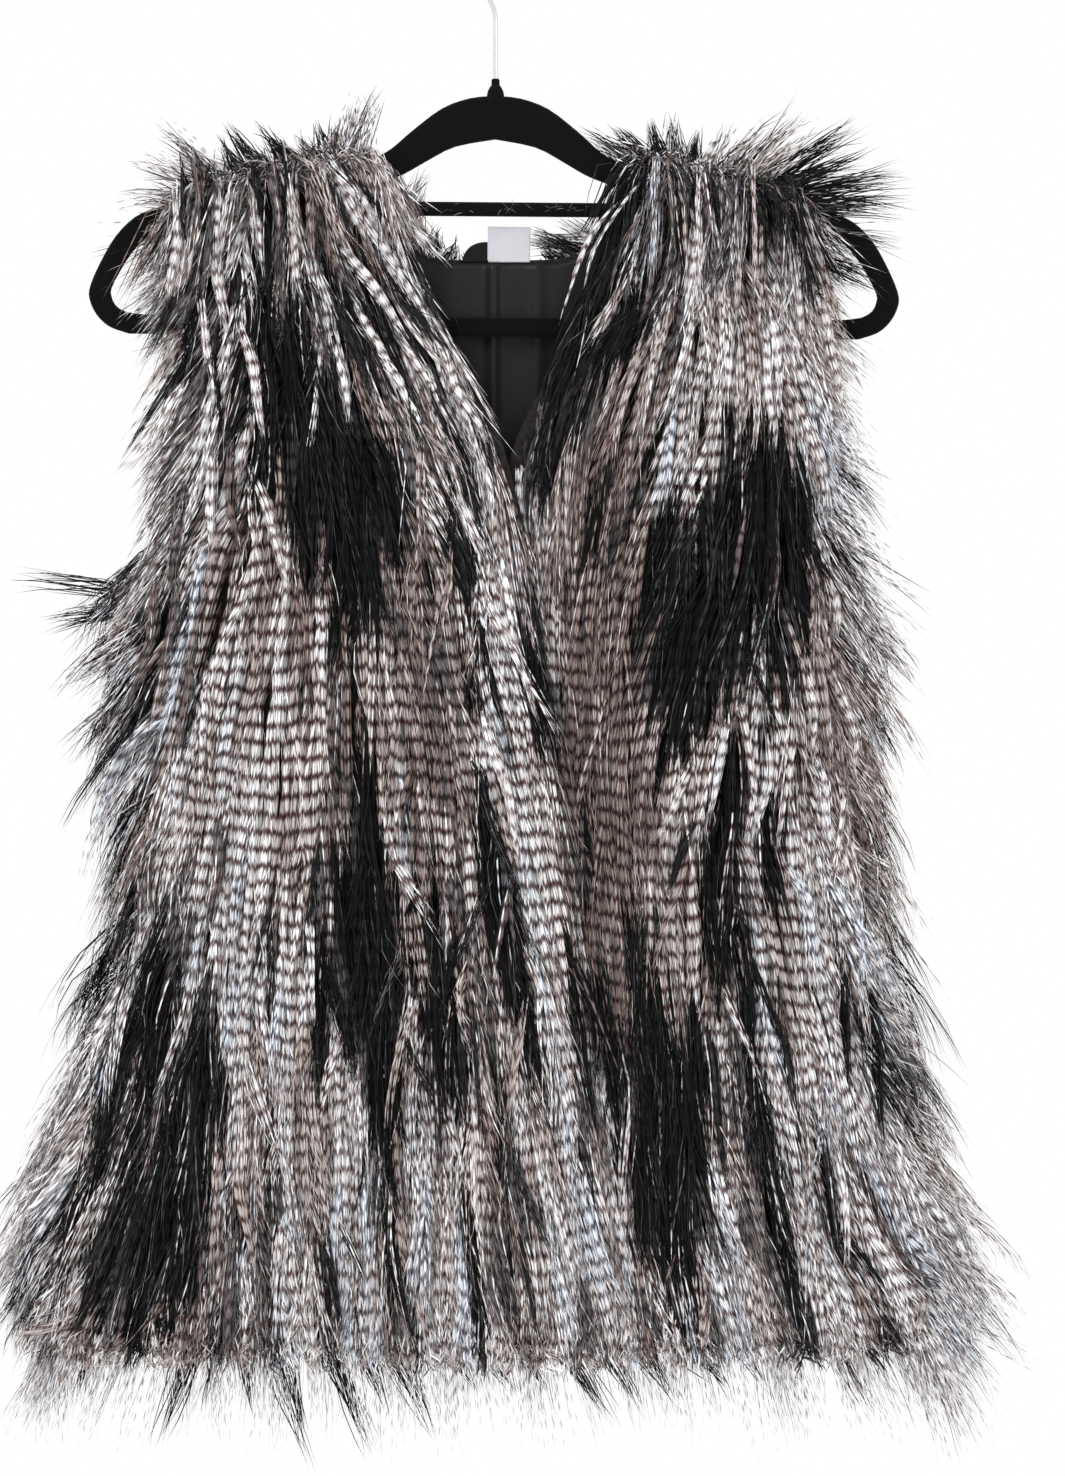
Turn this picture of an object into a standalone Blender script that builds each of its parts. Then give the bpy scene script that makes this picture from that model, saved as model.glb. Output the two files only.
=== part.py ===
"""A long pile faux fur vest that hangs on a flocked hanger.

The frame: +Z up, +X to the right seen from the front, and the front faces -Y.
The origin is on the inner top of the hook, where a rail carries it.
Sizes are in millimetres, and "down" is the distance below the origin.
The functions give points in millimetres, and mesh_object makes metres of them.
"""
import math
import random

import bmesh
import bpy
from mathutils import Vector

MM = 0.001

# The cloth's side edges (armhole, then side seam) and the two front edges, seen from the front
EDGE_COLUMNS = ("down", "left_side", "right_side", "lap_edge", "under_edge")
EDGES = (
    (134, -172, 168, -67, 71),
    (162, -171, 167, -58, 65),
    (193, -169, 169, -45, 54),
    (230, -167, 171, -28, 41),
    (262, -167, 172, -12, 27),
    (286, -168, 173, 1, 14),
    (325, -172, 176, 12, 1),
    (345, -181, 181, 17, -4),
    (358, -191, 187, 20, -6),
    (395, -194, 189, 24, -9),
    (435, -193, 190, 27, -10),
    (490, -188, 193, 33, -10),
    (556, -197, 200, 41, -10),
    (623, -213, 211, 48, -10),
    (672, -230, 221, 51, -10),
    (738, -241, 233, 51, -10),
    (790, -242, 238, 50, -10),
)

# How far the cloth stands from the middle plane, at the body's middle and at its side edge
DEPTH_COLUMNS = ("drop", "front", "front_edge", "back", "back_edge")
DEPTHS = (
    (0, 0.15, 0.15, 0.15, 0.15),
    (1.3, 2.7, 2.7, 2.7, 2.7),
    (3.5, 3.8, 3.8, 3.8, 3.8),
    (12, 5.2, 5.2, 5.0, 5.0),
    (45, 9, 8.5, 7.2, 7.2),
    (85, 13.5, 12.5, 9.5, 9.5),
    (130, 17.5, 14, 12.5, 11),
    (165, 20, 11.5, 14.5, 9.5),
    (186, 21, 5, 15.5, 4.5),
    (197, 21.5, 0.15, 16, 0.15),
    (260, 23.5, 0.15, 17.5, 0.15),
    (400, 26, 0.15, 19.5, 0.15),
    (630, 29, 0.15, 21.5, 0.15),
)

SEAM_GAP = 0.3
HEM_DOWN = 789
NECK_LEFT = -67
NECK_RIGHT = 71
BACK_NECK_DOWN = 193
BACK_NECK_POWER = 6

# The pile stands out from the cloth, is thinner on free edges, and is pressed flat under the lap
PILE = 14
PILE_AT_SIDE_SEAM = 18
PILE_AT_ARMHOLE = 8
PILE_PRESSED = 6
PILE_EDGE_SHARE = 0.55
PILE_EDGE_WIDTH = 20
UNDERARM_DROP = 195
LAP_LIFT = 8
FLUTE_DEPTH = 3.2
FLUTE_WIDTH = 118
FLUTE_TOP_DROP = 190

# Rows down a panel: close together where the cloth bends over the shoulder
SHOULDER_DROPS = (0, 1.3, 3.5, 9, 18, 32)
ROW_STEP = 27
PANEL_DROP = 628
FRONT_COLUMNS = 14
FRONT_COLUMN_POWER = 1.3
SHOULDER_COLUMNS = 8
NECK_COLUMNS = 13
NECK_CORNERS = (math.radians(0.12), math.radians(0.6))
SEAM_OVER_ARM = 1.2

LINING_WALL = 1.2
LINING_DROPS = (0, 8, 18, 32, 50, 72, 98, 128, 162, 198, 237)
LINING_END_DOWN = 430
PLEAT_AT = -1.4
FOLD_AT = 23
LABEL_LEFT = -4.1
LABEL_RIGHT = 19
LABEL_TOP_DOWN = 173.5
LABEL_WALL = 0.8
LOOP_LEFT = -18.5
LOOP_TOP_DOWN = 181.5

# The hanger, level, as distances from its middle and below the origin
HANGER_THICKNESS = 5.5
HANGER_TILT = math.radians(0.46)
HANGER_PIVOT_DOWN = 101.6
ARM_TOP_START = (66, 136.3)
ARM_TOP_END = (187.4, 164.9)
ARCH_OUTER = ((0, 101.6), (14, 103.0), (29.5, 108.8), (45.8, 121.2), (57, 131.0), ARM_TOP_START)
END_OUTER = (
    ARM_TOP_END, (198.4, 170.0), (208.9, 180.5), (217.2, 194.9), (222.7, 207.7),
    (223.3, 215.2), (219.4, 223.9), (212.2, 230.6), (201.2, 234.4),
)
ARCH_INNER = ((0, 125.6), (22, 129.8), (37.2, 137.6), (49.7, 144.8), (61, 149.3), (69.3, 151.6))
END_INNER = (
    (177, 172), (191.3, 180.3), (200.1, 189.8), (206.7, 200.4), (211.1, 209.3),
    (211.1, 213.7), (208.9, 218.6), (202.9, 222.4), (192, 223.8),
)
LOWER_BAR_TOP = 223.8
LOWER_BAR_BOTTOM = 234.4
UPPER_BAR_TOP = 160.3
UPPER_BAR_BOTTOM = 168.1
POST_INNER = 69.3
POST_OUTER = 75
ARM_UNDER_START = (POST_OUTER, 153)
HANGER_EDGE = 1.9
SOCKET_PROFILE = (
    (1.9, 92.2), (2.25, 92.8), (2.3, 95.6), (3.3, 96.9), (4.3, 98.9),
    (4.8, 101.5), (4.9, 105.5), (4.2, 109.5), (2.5, 113.5),
)
SOCKET_SIDES = 20

WIRE_RADIUS = 1.3
HOOK_RADIUS = 21.5
HOOK_LEAN = math.radians(45)
HOOK_BEND_RADIUS = 24
HOOK_END_ANGLE = math.radians(-38)
STEM_END_DOWN = 109.7
HOLE_TOP_DOWN = 87
HOLE_END_DOWN = 110
HOLE_RADIUS = 1.6

# Rows of long locks: the bar that holds them, and their reach
BAR_WIDTH = 5
BAR_DEPTH = 2.4
ARMHOLE_BAR_GAP = 1.0
SHOULDER_BAR_GAP = 0.5
HEM_BAR_DEPTH = 3
HEM_LOCK_LENGTH = 54
SIDE_LOCK_DOWN = 38
ARMHOLE_LOCK_OUT = 25
ARMHOLE_LOCK_DOWN = 22
SHOULDER_LOCK_UP = 34
LOCK_WAIST = 0.6
LOCK_BEND = 0.55

# How far the side locks reach out, by height
REACH_COLUMNS = ("down", "left", "right")
REACHES = (
    (400, 46, 22),
    (450, 34, 20),
    (550, 22, 20),
    (660, 20, 30),
    (745, 14, 38),
    (790, 12, 28),
)

# Colours as linear red, green and blue, with roughness and metallic
MATERIALS = {
    "fur": ((0.33, 0.29, 0.28), 0.75, 0.0),
    "fur_tips": ((0.12, 0.11, 0.12), 0.7, 0.0),
    "satin": ((0.012, 0.012, 0.014), 0.35, 0.0),
    "label": ((0.80, 0.79, 0.80), 0.6, 0.0),
    "ribbon": ((0.01, 0.01, 0.01), 0.5, 0.0),
    "flock": ((0.006, 0.006, 0.008), 0.9, 0.0),
    "wire": ((0.70, 0.70, 0.71), 0.2, 1.0),
}


def clear_objects():
    for old in list(bpy.data.objects):
        bpy.data.objects.remove(old, do_unlink=True)


def material(name):
    """The named material, made once from its colour, roughness and metallic value."""
    found = bpy.data.materials.get(name)
    if found:
        return found
    colour, roughness, metallic = MATERIALS[name]
    made = bpy.data.materials.new(name)
    made.use_nodes = True
    shader = made.node_tree.nodes["Principled BSDF"]
    shader.inputs["Base Color"].default_value = (*colour, 1)
    shader.inputs["Roughness"].default_value = roughness
    shader.inputs["Metallic"].default_value = metallic
    return made


def mesh_object(name, points, faces, material_name):
    """A closed object from points in millimetres, with its faces turned outwards."""
    mesh = bpy.data.meshes.new(name)
    mesh.from_pydata([tuple(Vector(point) * MM) for point in points], [], faces)
    shape = bmesh.new()
    shape.from_mesh(mesh)
    bmesh.ops.recalc_face_normals(shape, faces=shape.faces)
    shape.to_mesh(mesh)
    shape.free()
    mesh.materials.append(material(material_name))
    made = bpy.data.objects.new(name, mesh)
    bpy.context.scene.collection.objects.link(made)
    return made


def mix(low, high, share):
    return low + (high - low) * share


def ramp(value, start, end):
    """Rises smoothly from 0 at start to 1 at end."""
    share = min(max((value - start) / (end - start), 0), 1)
    return share * share * (3 - 2 * share)


def table_curve(table, columns, name):
    """A smooth curve through one column against the first one, which never swings past its rows."""
    at = [row[0] for row in table]
    value = [row[columns.index(name)] for row in table]
    steep = [(value[i + 1] - value[i]) / (at[i + 1] - at[i]) for i in range(len(at) - 1)]
    slope = [steep[0]]
    for before, after in zip(steep, steep[1:]):
        slope.append(2 * before * after / (before + after) if before * after > 0 else 0)
    slope.append(steep[-1])

    def curve(where):
        where = min(max(where, at[0]), at[-1])
        i = 0
        while i < len(at) - 2 and where > at[i + 1]:
            i += 1
        wide = at[i + 1] - at[i]
        s = (where - at[i]) / wide
        start = value[i] * (1 + 2 * s) * (1 - s) ** 2 + slope[i] * wide * s * (1 - s) ** 2
        end = value[i + 1] * s * s * (3 - 2 * s) - slope[i + 1] * wide * s * s * (1 - s)
        return start + end

    return curve


EDGE = {name: table_curve(EDGES, EDGE_COLUMNS, name) for name in EDGE_COLUMNS[1:]}
DEPTH = {name: table_curve(DEPTHS, DEPTH_COLUMNS, name) for name in DEPTH_COLUMNS[1:]}
REACH = {name: table_curve(REACHES, REACH_COLUMNS, name) for name in REACH_COLUMNS[1:]}


def seam_down(x):
    """Height of the shoulder seam, which lies just over the hanger's arm."""
    start_x, start_down = ARM_TOP_START
    end_x, end_down = ARM_TOP_END
    slope = (end_down - start_down) / (end_x - start_x)
    beside = min(max(x, -end_x), end_x)
    reach = max(abs(beside), start_x)
    return start_down + slope * (reach - start_x) + math.tan(HANGER_TILT) * beside - SEAM_OVER_ARM


def side_of(x, down):
    """The side edge's distance from the middle, on the side that x is on."""
    return EDGE["right_side"](down) if x >= 0 else -EDGE["left_side"](down)


def cloth_depth(face, x, down):
    """How far the cloth of the front or the back stands from the middle plane."""
    drop = down - seam_down(x)
    across = min(abs(x) / side_of(x, down), 1)
    round_off = math.sqrt(1 - across * across)
    edge = DEPTH[face + "_edge"](drop)
    depth = mix(edge, DEPTH[face](drop), round_off)
    grown = max(drop - FLUTE_TOP_DROP, 0) / (PANEL_DROP - FLUTE_TOP_DROP)
    phase = 0.6 if face == "front" else 2.1
    return depth + FLUTE_DEPTH * grown * round_off * math.sin(2 * math.pi * x / FLUTE_WIDTH + phase)


def across_angle(x, down):
    return math.asin(min(max(x / side_of(x, down), -1), 1))


def at_angle(angle, down):
    """The x of a line down the panel that keeps its angle round the body."""
    return math.sin(angle) * side_of(angle, down)


def front_point(which, u, down):
    """A point on a front's cloth: u is 0 on the front edge and 1 on the side edge."""
    edge_x = EDGE[which + "_edge"](down)
    outer = -math.pi / 2 if which == "lap" else math.pi / 2
    angle = mix(across_angle(edge_x, down), outer, u ** FRONT_COLUMN_POWER)
    x = at_angle(angle, down)
    depth = cloth_depth("front", x, down)
    if which == "lap":
        covered = EDGE["under_edge"](down)
        depth += LAP_LIFT * ramp(x, covered - 60, covered - 22)
    return Vector((x, -depth, -down))


def back_angles():
    """The angles of the back's columns: over each shoulder, and between them along the neck.

    The outermost neck columns stand close beside the shoulder seams, where the neck drops away.
    """
    left = across_angle(NECK_LEFT, seam_down(NECK_LEFT))
    right = across_angle(NECK_RIGHT, seam_down(NECK_RIGHT))
    quarter = math.pi / 2
    angles = [mix(-quarter, left, i / SHOULDER_COLUMNS) for i in range(SHOULDER_COLUMNS)]
    near, far = NECK_CORNERS
    angles += [left, left + near]
    inner = NECK_COLUMNS - 4
    angles += [mix(left + far, right - far, i / inner) for i in range(inner + 1)]
    angles.append(right - near)
    angles += [mix(right, quarter, i / SHOULDER_COLUMNS) for i in range(SHOULDER_COLUMNS + 1)]
    return angles


BACK_ANGLES = back_angles()


def back_point(u, down):
    """A point on the back's cloth: u runs from the left side edge to the right one."""
    place = u * (len(BACK_ANGLES) - 1)
    i = min(int(place), len(BACK_ANGLES) - 2)
    angle = mix(BACK_ANGLES[i], BACK_ANGLES[i + 1], place - i)
    x = at_angle(angle, down)
    return Vector((x, cloth_depth("back", x, down), -down))


def neck_down(x):
    """Height of the back's top edge: the shoulder seams, and the hollow between them."""
    middle = (NECK_LEFT + NECK_RIGHT) / 2
    beside = abs(x - middle) / ((NECK_RIGHT - NECK_LEFT) / 2)
    top = seam_down(x)
    if beside >= 1:
        return top
    return mix(BACK_NECK_DOWN, top, beside ** BACK_NECK_POWER)


def row_drops():
    drops = list(SHOULDER_DROPS)
    count = round((PANEL_DROP - drops[-1]) / ROW_STEP)
    start = drops[-1]
    drops += [mix(start, PANEL_DROP, (i + 1) / count) for i in range(count)]
    return drops


DROPS = row_drops()


def column_downs(point, top_down, u, drops, end_down):
    """The heights of a column's points, from its place on the top edge down to its end."""
    top = seam_down(0)
    for _ in range(8):
        top = top_down(point(u, top).x)
    return [mix(top, end_down, drop / drops[-1]) for drop in drops]


def outward(point, u, down, face):
    """The cloth's outward direction, level with the seam plane on the shoulder and side seams."""
    step_u = 0.004
    step_down = 0.4
    u_low, u_high = max(u - step_u, 0), min(u + step_u, 1)
    across = point(u_high, down) - point(u_low, down)
    along = point(u, down + step_down) - point(u, max(down - step_down, 0))
    normal = across.cross(along).normalized()
    if normal.y * (1 if face == "back" else -1) < 0:
        normal.negate()
    return normal


def from_free_edge(which, x, down):
    """The distance from a front's edge, or from the back's neck."""
    if which != "back":
        return abs(x - EDGE[which + "_edge"](down))
    beyond = max(NECK_LEFT - x, x - NECK_RIGHT, 0)
    return math.hypot(beyond, down - neck_down(x))


def pile_height(which, x, down):
    """The pile's height over the cloth at a point of a panel."""
    drop = down - seam_down(x)
    side = side_of(x, down) - abs(x)
    side_pile = mix(PILE_AT_ARMHOLE, PILE_AT_SIDE_SEAM, ramp(drop, UNDERARM_DROP - 5, UNDERARM_DROP + 60))
    waves = math.sin(x / 19 + down / 47) * math.sin(down / 31 - x / 61)
    height = mix(side_pile, PILE + 1.2 * waves, ramp(side, 0, 30))
    if which == "under":
        pressed = 1 - ramp(x, EDGE["lap_edge"](down) + 22, EDGE["lap_edge"](down) + 60)
        height = mix(height, PILE_PRESSED, pressed)
    return height * mix(PILE_EDGE_SHARE, 1, ramp(from_free_edge(which, x, down), 0, PILE_EDGE_WIDTH))


def panel_grid(which):
    """Cloth points and pile points of a panel, as rows of columns, with the outward directions."""
    face = "back" if which == "back" else "front"
    columns = len(BACK_ANGLES) - 1 if which == "back" else FRONT_COLUMNS

    def point(u, down):
        return back_point(u, down) if which == "back" else front_point(which, u, down)

    top_edge = neck_down if which == "back" else seam_down
    cloth = [[] for _ in DROPS]
    pile = [[] for _ in DROPS]
    normals = [[] for _ in DROPS]
    for column in range(columns + 1):
        u = column / columns
        downs = column_downs(point, top_edge, u, DROPS, HEM_DOWN)
        for row, down in enumerate(downs):
            place = point(u, down)
            normal = outward(point, u, down, face)
            drop = down - seam_down(place.x)
            on_shoulder = row == 0 and drop < 1
            at_side = drop > UNDERARM_DROP and column in side_columns(which, columns)
            if on_shoulder or at_side:
                normal.y = 0
                normal.normalize()
            if on_shoulder and normal.z < 0:
                normal.negate()
            height = pile_height(which, place.x, down)
            cloth[row].append(place)
            pile[row].append(place + normal * height)
            normals[row].append(normal)
    return cloth, pile, normals


def side_columns(which, columns):
    return (0, columns) if which == "back" else (columns,)


def closed_wall(name, inner, outer, material_name):
    """A wall between two grids of points of the same size, closed all round its edges."""
    rows = len(inner)
    columns = len(inner[0])
    points = [point for grid in (inner, outer) for line in grid for point in line]
    layer = rows * columns
    faces = []
    for row in range(rows - 1):
        for column in range(columns - 1):
            corner = row * columns + column
            cell = (corner, corner + 1, corner + columns + 1, corner + columns)
            faces.append(cell)
            faces.append(tuple(layer + index for index in reversed(cell)))
    border = [column for column in range(columns)]
    border += [row * columns + columns - 1 for row in range(1, rows)]
    border += [(rows - 1) * columns + column for column in range(columns - 2, -1, -1)]
    border += [row * columns for row in range(rows - 2, 0, -1)]
    for here, there in zip(border, border[1:] + border[:1]):
        faces.append((there, here, layer + here, layer + there))
    return mesh_object(name, points, faces, material_name)


def lining_fold(x, down):
    """How far the satin stands forward: the centre pleat, and a softer fold beside it."""
    near_top = 1 - 0.55 * ramp(down, BACK_NECK_DOWN, BACK_NECK_DOWN + 90)
    pleat = 2.2 * math.exp(-((x - PLEAT_AT) / 4.5) ** 2)
    fold = 1.1 * math.exp(-((x - FOLD_AT) / 6) ** 2)
    return near_top * (pleat + fold)


def back_lining():
    """The satin inside the back, from the neck edge down to where it stops showing."""
    first = SHOULDER_COLUMNS + 3
    last = SHOULDER_COLUMNS + NECK_COLUMNS - 3
    columns = (last - first) * 2
    total = len(BACK_ANGLES) - 1
    outer = [[] for _ in LINING_DROPS]
    inner = [[] for _ in LINING_DROPS]
    for column in range(columns + 1):
        u = mix(first, last, column / columns) / total
        downs = column_downs(back_point, neck_down, u, LINING_DROPS, LINING_END_DOWN)
        for row, down in enumerate(downs):
            place = back_point(u, down)
            normal = outward(back_point, u, down, "back")
            seat = place - normal * SEAM_GAP
            outer[row].append(seat)
            inner[row].append(seat - normal * (LINING_WALL + lining_fold(place.x, down)))
    closed_wall("back_lining", inner, outer, "satin")
    return outer[0]


def plate(name, outline, depth_at, wall, material_name):
    """A thin upright piece with an outline of x and down, standing at a depth behind the middle plane."""
    points = []
    for x, down in outline:
        points.append(Vector((x, depth_at(x) - wall / 2, -down)))
    for x, down in outline:
        points.append(Vector((x, depth_at(x) + wall / 2, -down)))
    count = len(outline)
    faces = [tuple(range(count)), tuple(range(2 * count - 1, count - 1, -1))]
    for i in range(count):
        j = (i + 1) % count
        faces.append((j, i, count + i, count + j))
    return mesh_object(name, points, faces, material_name)


def neck_labels(lining_top):
    """The blank label and the loop beside it, both standing up from the lining's top edge."""
    def top_depth(x):
        for near, far in zip(lining_top, lining_top[1:]):
            if near.x <= x <= far.x:
                return mix(near.y, far.y, (x - near.x) / (far.x - near.x))
        return lining_top[-1].y

    foot = BACK_NECK_DOWN - SEAM_GAP - 0.1
    middle = (LABEL_LEFT + LABEL_RIGHT) / 2
    rows = 5
    points = []
    for wall_side in (-0.5, 0.5):
        for row in range(rows + 1):
            down = mix(foot, LABEL_TOP_DOWN, row / rows)
            lean = 1.6 * (row / rows) ** 2
            for x in (LABEL_LEFT, middle, LABEL_RIGHT):
                bow = 0.5 * (1 if x == middle else 0)
                y = top_depth(x) - 0.7 - lean + bow * row / rows + wall_side * LABEL_WALL
                points.append(Vector((x, y, -down)))
    half = len(points) // 2
    faces = []
    for row in range(rows):
        for column in range(2):
            corner = row * 3 + column
            cell = (corner, corner + 1, corner + 4, corner + 3)
            faces.append(cell)
            faces.append(tuple(half + index for index in reversed(cell)))
    border = [0, 1, 2] + [row * 3 + 2 for row in range(1, rows + 1)] + [rows * 3 + 1]
    border += [row * 3 for row in range(rows, 0, -1)]
    for here, there in zip(border, border[1:] + border[:1]):
        faces.append((there, here, half + here, half + there))
    mesh_object("neck_label", points, faces, "label")

    loop_right = LABEL_LEFT - SEAM_GAP
    centre = (LOOP_LEFT + loop_right) / 2
    half_width = (loop_right - LOOP_LEFT) / 2
    steps = 12
    outline = []
    for i in range(steps + 1):
        angle = math.pi * i / steps
        down = foot - (foot - LOOP_TOP_DOWN) * math.sin(angle) ** 0.7
        outline.append((centre - half_width * math.cos(angle), down))
    plate("neck_loop", outline, lambda x: top_depth(x) - 0.6, 1.0, "ribbon")


def round_line(points, steps=3):
    """More points on a smooth curve through the given ones."""
    line = []
    last = len(points) - 1
    for i in range(last):
        before = Vector(points[max(i - 1, 0)])
        start = Vector(points[i])
        end = Vector(points[i + 1])
        after = Vector(points[min(i + 2, last)])
        for step in range(steps):
            s = step / steps
            bend = start * 2 + (end - before) * s
            bend += (before * 2 - start * 5 + end * 4 - after) * s ** 2
            bend += (start * 3 - before - end * 3 + after) * s ** 3
            line.append(tuple(bend / 2))
    line.append(tuple(points[-1]))
    return line


def mirrored(half):
    """A closed outline from its right half, which starts and ends on the middle or across it."""
    left = [(-x, down) for x, down in reversed(half) if x > 0]
    return half + left


def hanger_outlines():
    """The hanger's outer edge and its two windows, level."""
    outer = round_line(ARCH_OUTER) + round_line(END_OUTER)
    outer.append((100, LOWER_BAR_BOTTOM))
    upper = round_line(ARCH_INNER) + [(POST_INNER, UPPER_BAR_TOP)]
    lower = [(POST_OUTER, UPPER_BAR_BOTTOM), ARM_UNDER_START] + round_line(END_INNER, 2)
    lower.append((100, LOWER_BAR_TOP))
    return mirrored(outer), mirrored(upper), mirrored(lower)


def tilted(x, down):
    """A point of the hanger as it hangs, a little lower on the right."""
    below = down - HANGER_PIVOT_DOWN
    turned_x = x * math.cos(HANGER_TILT) - below * math.sin(HANGER_TILT)
    turned_down = below * math.cos(HANGER_TILT) + x * math.sin(HANGER_TILT)
    return turned_x, turned_down + HANGER_PIVOT_DOWN


def hanger():
    """One flat moulding with rounded edges, a turned socket on its arch and a hole for the hook."""
    shape = bmesh.new()
    edges = []
    for outline in hanger_outlines():
        ring = []
        for x, down in outline:
            x, down = tilted(x, down)
            ring.append(shape.verts.new((x * MM, -HANGER_THICKNESS / 2 * MM, -down * MM)))
        edges += [shape.edges.new((a, b)) for a, b in zip(ring, ring[1:] + ring[:1])]
    bmesh.ops.triangle_fill(shape, use_beauty=True, use_dissolve=False, edges=edges)
    grown = bmesh.ops.extrude_face_region(shape, geom=list(shape.faces))
    back = [item for item in grown["geom"] if isinstance(item, bmesh.types.BMVert)]
    bmesh.ops.translate(shape, verts=back, vec=(0, HANGER_THICKNESS * MM, 0))
    bmesh.ops.recalc_face_normals(shape, faces=shape.faces)
    mesh = bpy.data.meshes.new("hanger")
    shape.to_mesh(mesh)
    shape.free()
    mesh.materials.append(material("flock"))
    made = bpy.data.objects.new("hanger", mesh)
    bpy.context.scene.collection.objects.link(made)
    rounding = made.modifiers.new("rounded edges", "BEVEL")
    rounding.width = HANGER_EDGE * MM
    rounding.segments = 2
    rounding.limit_method = "ANGLE"
    rounding.angle_limit = math.radians(60)

    socket = turned("socket", SOCKET_PROFILE)
    hole = turned("hole", ((HOLE_RADIUS, HOLE_TOP_DOWN), (HOLE_RADIUS, HOLE_END_DOWN)))
    for cutter, operation in ((socket, "UNION"), (hole, "DIFFERENCE")):
        cutter.hide_render = True
        cutter.display_type = "WIRE"
        joined = made.modifiers.new(cutter.name, "BOOLEAN")
        joined.operation = operation
        joined.object = cutter


def turned(name, profile):
    """A closed turned piece about the upright axis, from radius and down, top first."""
    points = []
    for radius, down in profile:
        for side in range(SOCKET_SIDES):
            angle = 2 * math.pi * side / SOCKET_SIDES
            points.append(Vector((radius * math.cos(angle), radius * math.sin(angle), -down)))
    faces = [tuple(range(SOCKET_SIDES))]
    last = (len(profile) - 1) * SOCKET_SIDES
    faces.append(tuple(range(last + SOCKET_SIDES - 1, last - 1, -1)))
    for ring in range(len(profile) - 1):
        for side in range(SOCKET_SIDES):
            a = ring * SOCKET_SIDES + side
            b = ring * SOCKET_SIDES + (side + 1) % SOCKET_SIDES
            faces.append((b, a, a + SOCKET_SIDES, b + SOCKET_SIDES))
    return mesh_object(name, points, faces, "flock")


def hook_line():
    """The wire's middle line: the stem, a bend to the left, and round over the rail."""
    centre_z = -(HOOK_RADIUS - WIRE_RADIUS)
    start_angle = math.pi + HOOK_LEAN
    foot_x = HOOK_RADIUS * math.cos(start_angle)
    foot_z = centre_z + HOOK_RADIUS * math.sin(start_angle)
    bend_x = -HOOK_BEND_RADIUS * (1 - math.cos(HOOK_LEAN))
    bend_end_z = foot_z - (bend_x - foot_x) / math.tan(HOOK_LEAN)
    stem_top_z = bend_end_z - HOOK_BEND_RADIUS * math.sin(HOOK_LEAN)
    line = [(0, -STEM_END_DOWN), (0, (stem_top_z - STEM_END_DOWN) / 2)]
    for i in range(7):
        angle = HOOK_LEAN * i / 6
        x = -HOOK_BEND_RADIUS * (1 - math.cos(angle))
        line.append((x, stem_top_z + HOOK_BEND_RADIUS * math.sin(angle)))
    turns = 26
    for i in range(turns + 1):
        angle = mix(start_angle, HOOK_END_ANGLE, i / turns)
        line.append((HOOK_RADIUS * math.cos(angle), centre_z + HOOK_RADIUS * math.sin(angle)))
    return line


def hanger_hook():
    curve = bpy.data.curves.new("hanger_hook", "CURVE")
    curve.dimensions = "3D"
    curve.bevel_depth = WIRE_RADIUS * MM
    curve.bevel_resolution = 2
    curve.use_fill_caps = True
    line = hook_line()
    spline = curve.splines.new("POLY")
    spline.points.add(len(line) - 1)
    for point, (x, z) in zip(spline.points, line):
        point.co = (x * MM, 0, z * MM, 1)
    curve.materials.append(material("wire"))
    made = bpy.data.objects.new("hanger_hook", curve)
    bpy.context.scene.collection.objects.link(made)


def finer(stations, pieces):
    """Stations between the given ones, on the straight lines that join them."""
    line = []
    for near, far in zip(stations, stations[1:]):
        for i in range(pieces):
            share = i / pieces
            line.append(tuple(a.lerp(b, share) for a, b in zip(near, far)))
    line.append(stations[-1])
    return line


def lock_row(name, stations, depth, reach):
    """A narrow bar with a tapered lock on each stretch of it.

    A station is the middle of the bar's outer face, half its width as a vector, and the way out.
    reach gives each lock's tip from the middle of its root.
    """
    points = []
    for middle, half_width, out in stations:
        back = middle - out.normalized() * depth
        points += [middle - half_width, middle + half_width, back + half_width, back - half_width]
    faces = [(0, 1, 2, 3)]
    last = (len(stations) - 1) * 4
    faces.append((last + 3, last + 2, last + 1, last))
    for i in range(len(stations) - 1):
        a, b = i * 4, (i + 1) * 4
        for side in (1, 2, 3):
            there = (side + 1) % 4
            faces.append((a + side, b + side, b + there, a + there))
        root = (a, a + 1, b + 1, b)
        middle = sum((points[index] for index in root), Vector()) / 4
        tip = reach(i, middle, stations[i])
        waist_middle = middle + tip * 0.5
        waist_middle += stations[i][2].normalized() * tip.length * 0.12 * LOCK_BEND
        waist = len(points)
        for index in root:
            points.append(waist_middle + (points[index] - middle) * LOCK_WAIST)
        points.append(middle + tip)
        for side in range(4):
            there = (side + 1) % 4
            faces.append((root[side], root[there], waist + there, waist + side))
            faces.append((waist + side, waist + there, waist + 4))
    mesh_object(name, points, faces, "fur_tips")


def hem_locks(name, grid, chance):
    """Locks that hang from under a panel's hem, as thick as the pile over it."""
    cloth, pile, normals = grid
    stations = []
    for low, high, normal in zip(cloth[-1], pile[-1], normals[-1]):
        middle = (low + high) / 2 - Vector((0, 0, SEAM_GAP + HEM_BAR_DEPTH))
        stations.append((middle, (high - low) * 0.3, Vector((0, 0, -1))))
    stations = stations[1:-1]

    def reach(_, middle, station):
        out = station[1].normalized() * 9
        lean = middle.x / 240 * 12
        length = HEM_LOCK_LENGTH * mix(0.8, 1.06, chance.random())
        return Vector((lean + chance.uniform(-2, 2), 0, -length)) + out

    lock_row(name, finer(stations, 2), HEM_BAR_DEPTH, reach)


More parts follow.
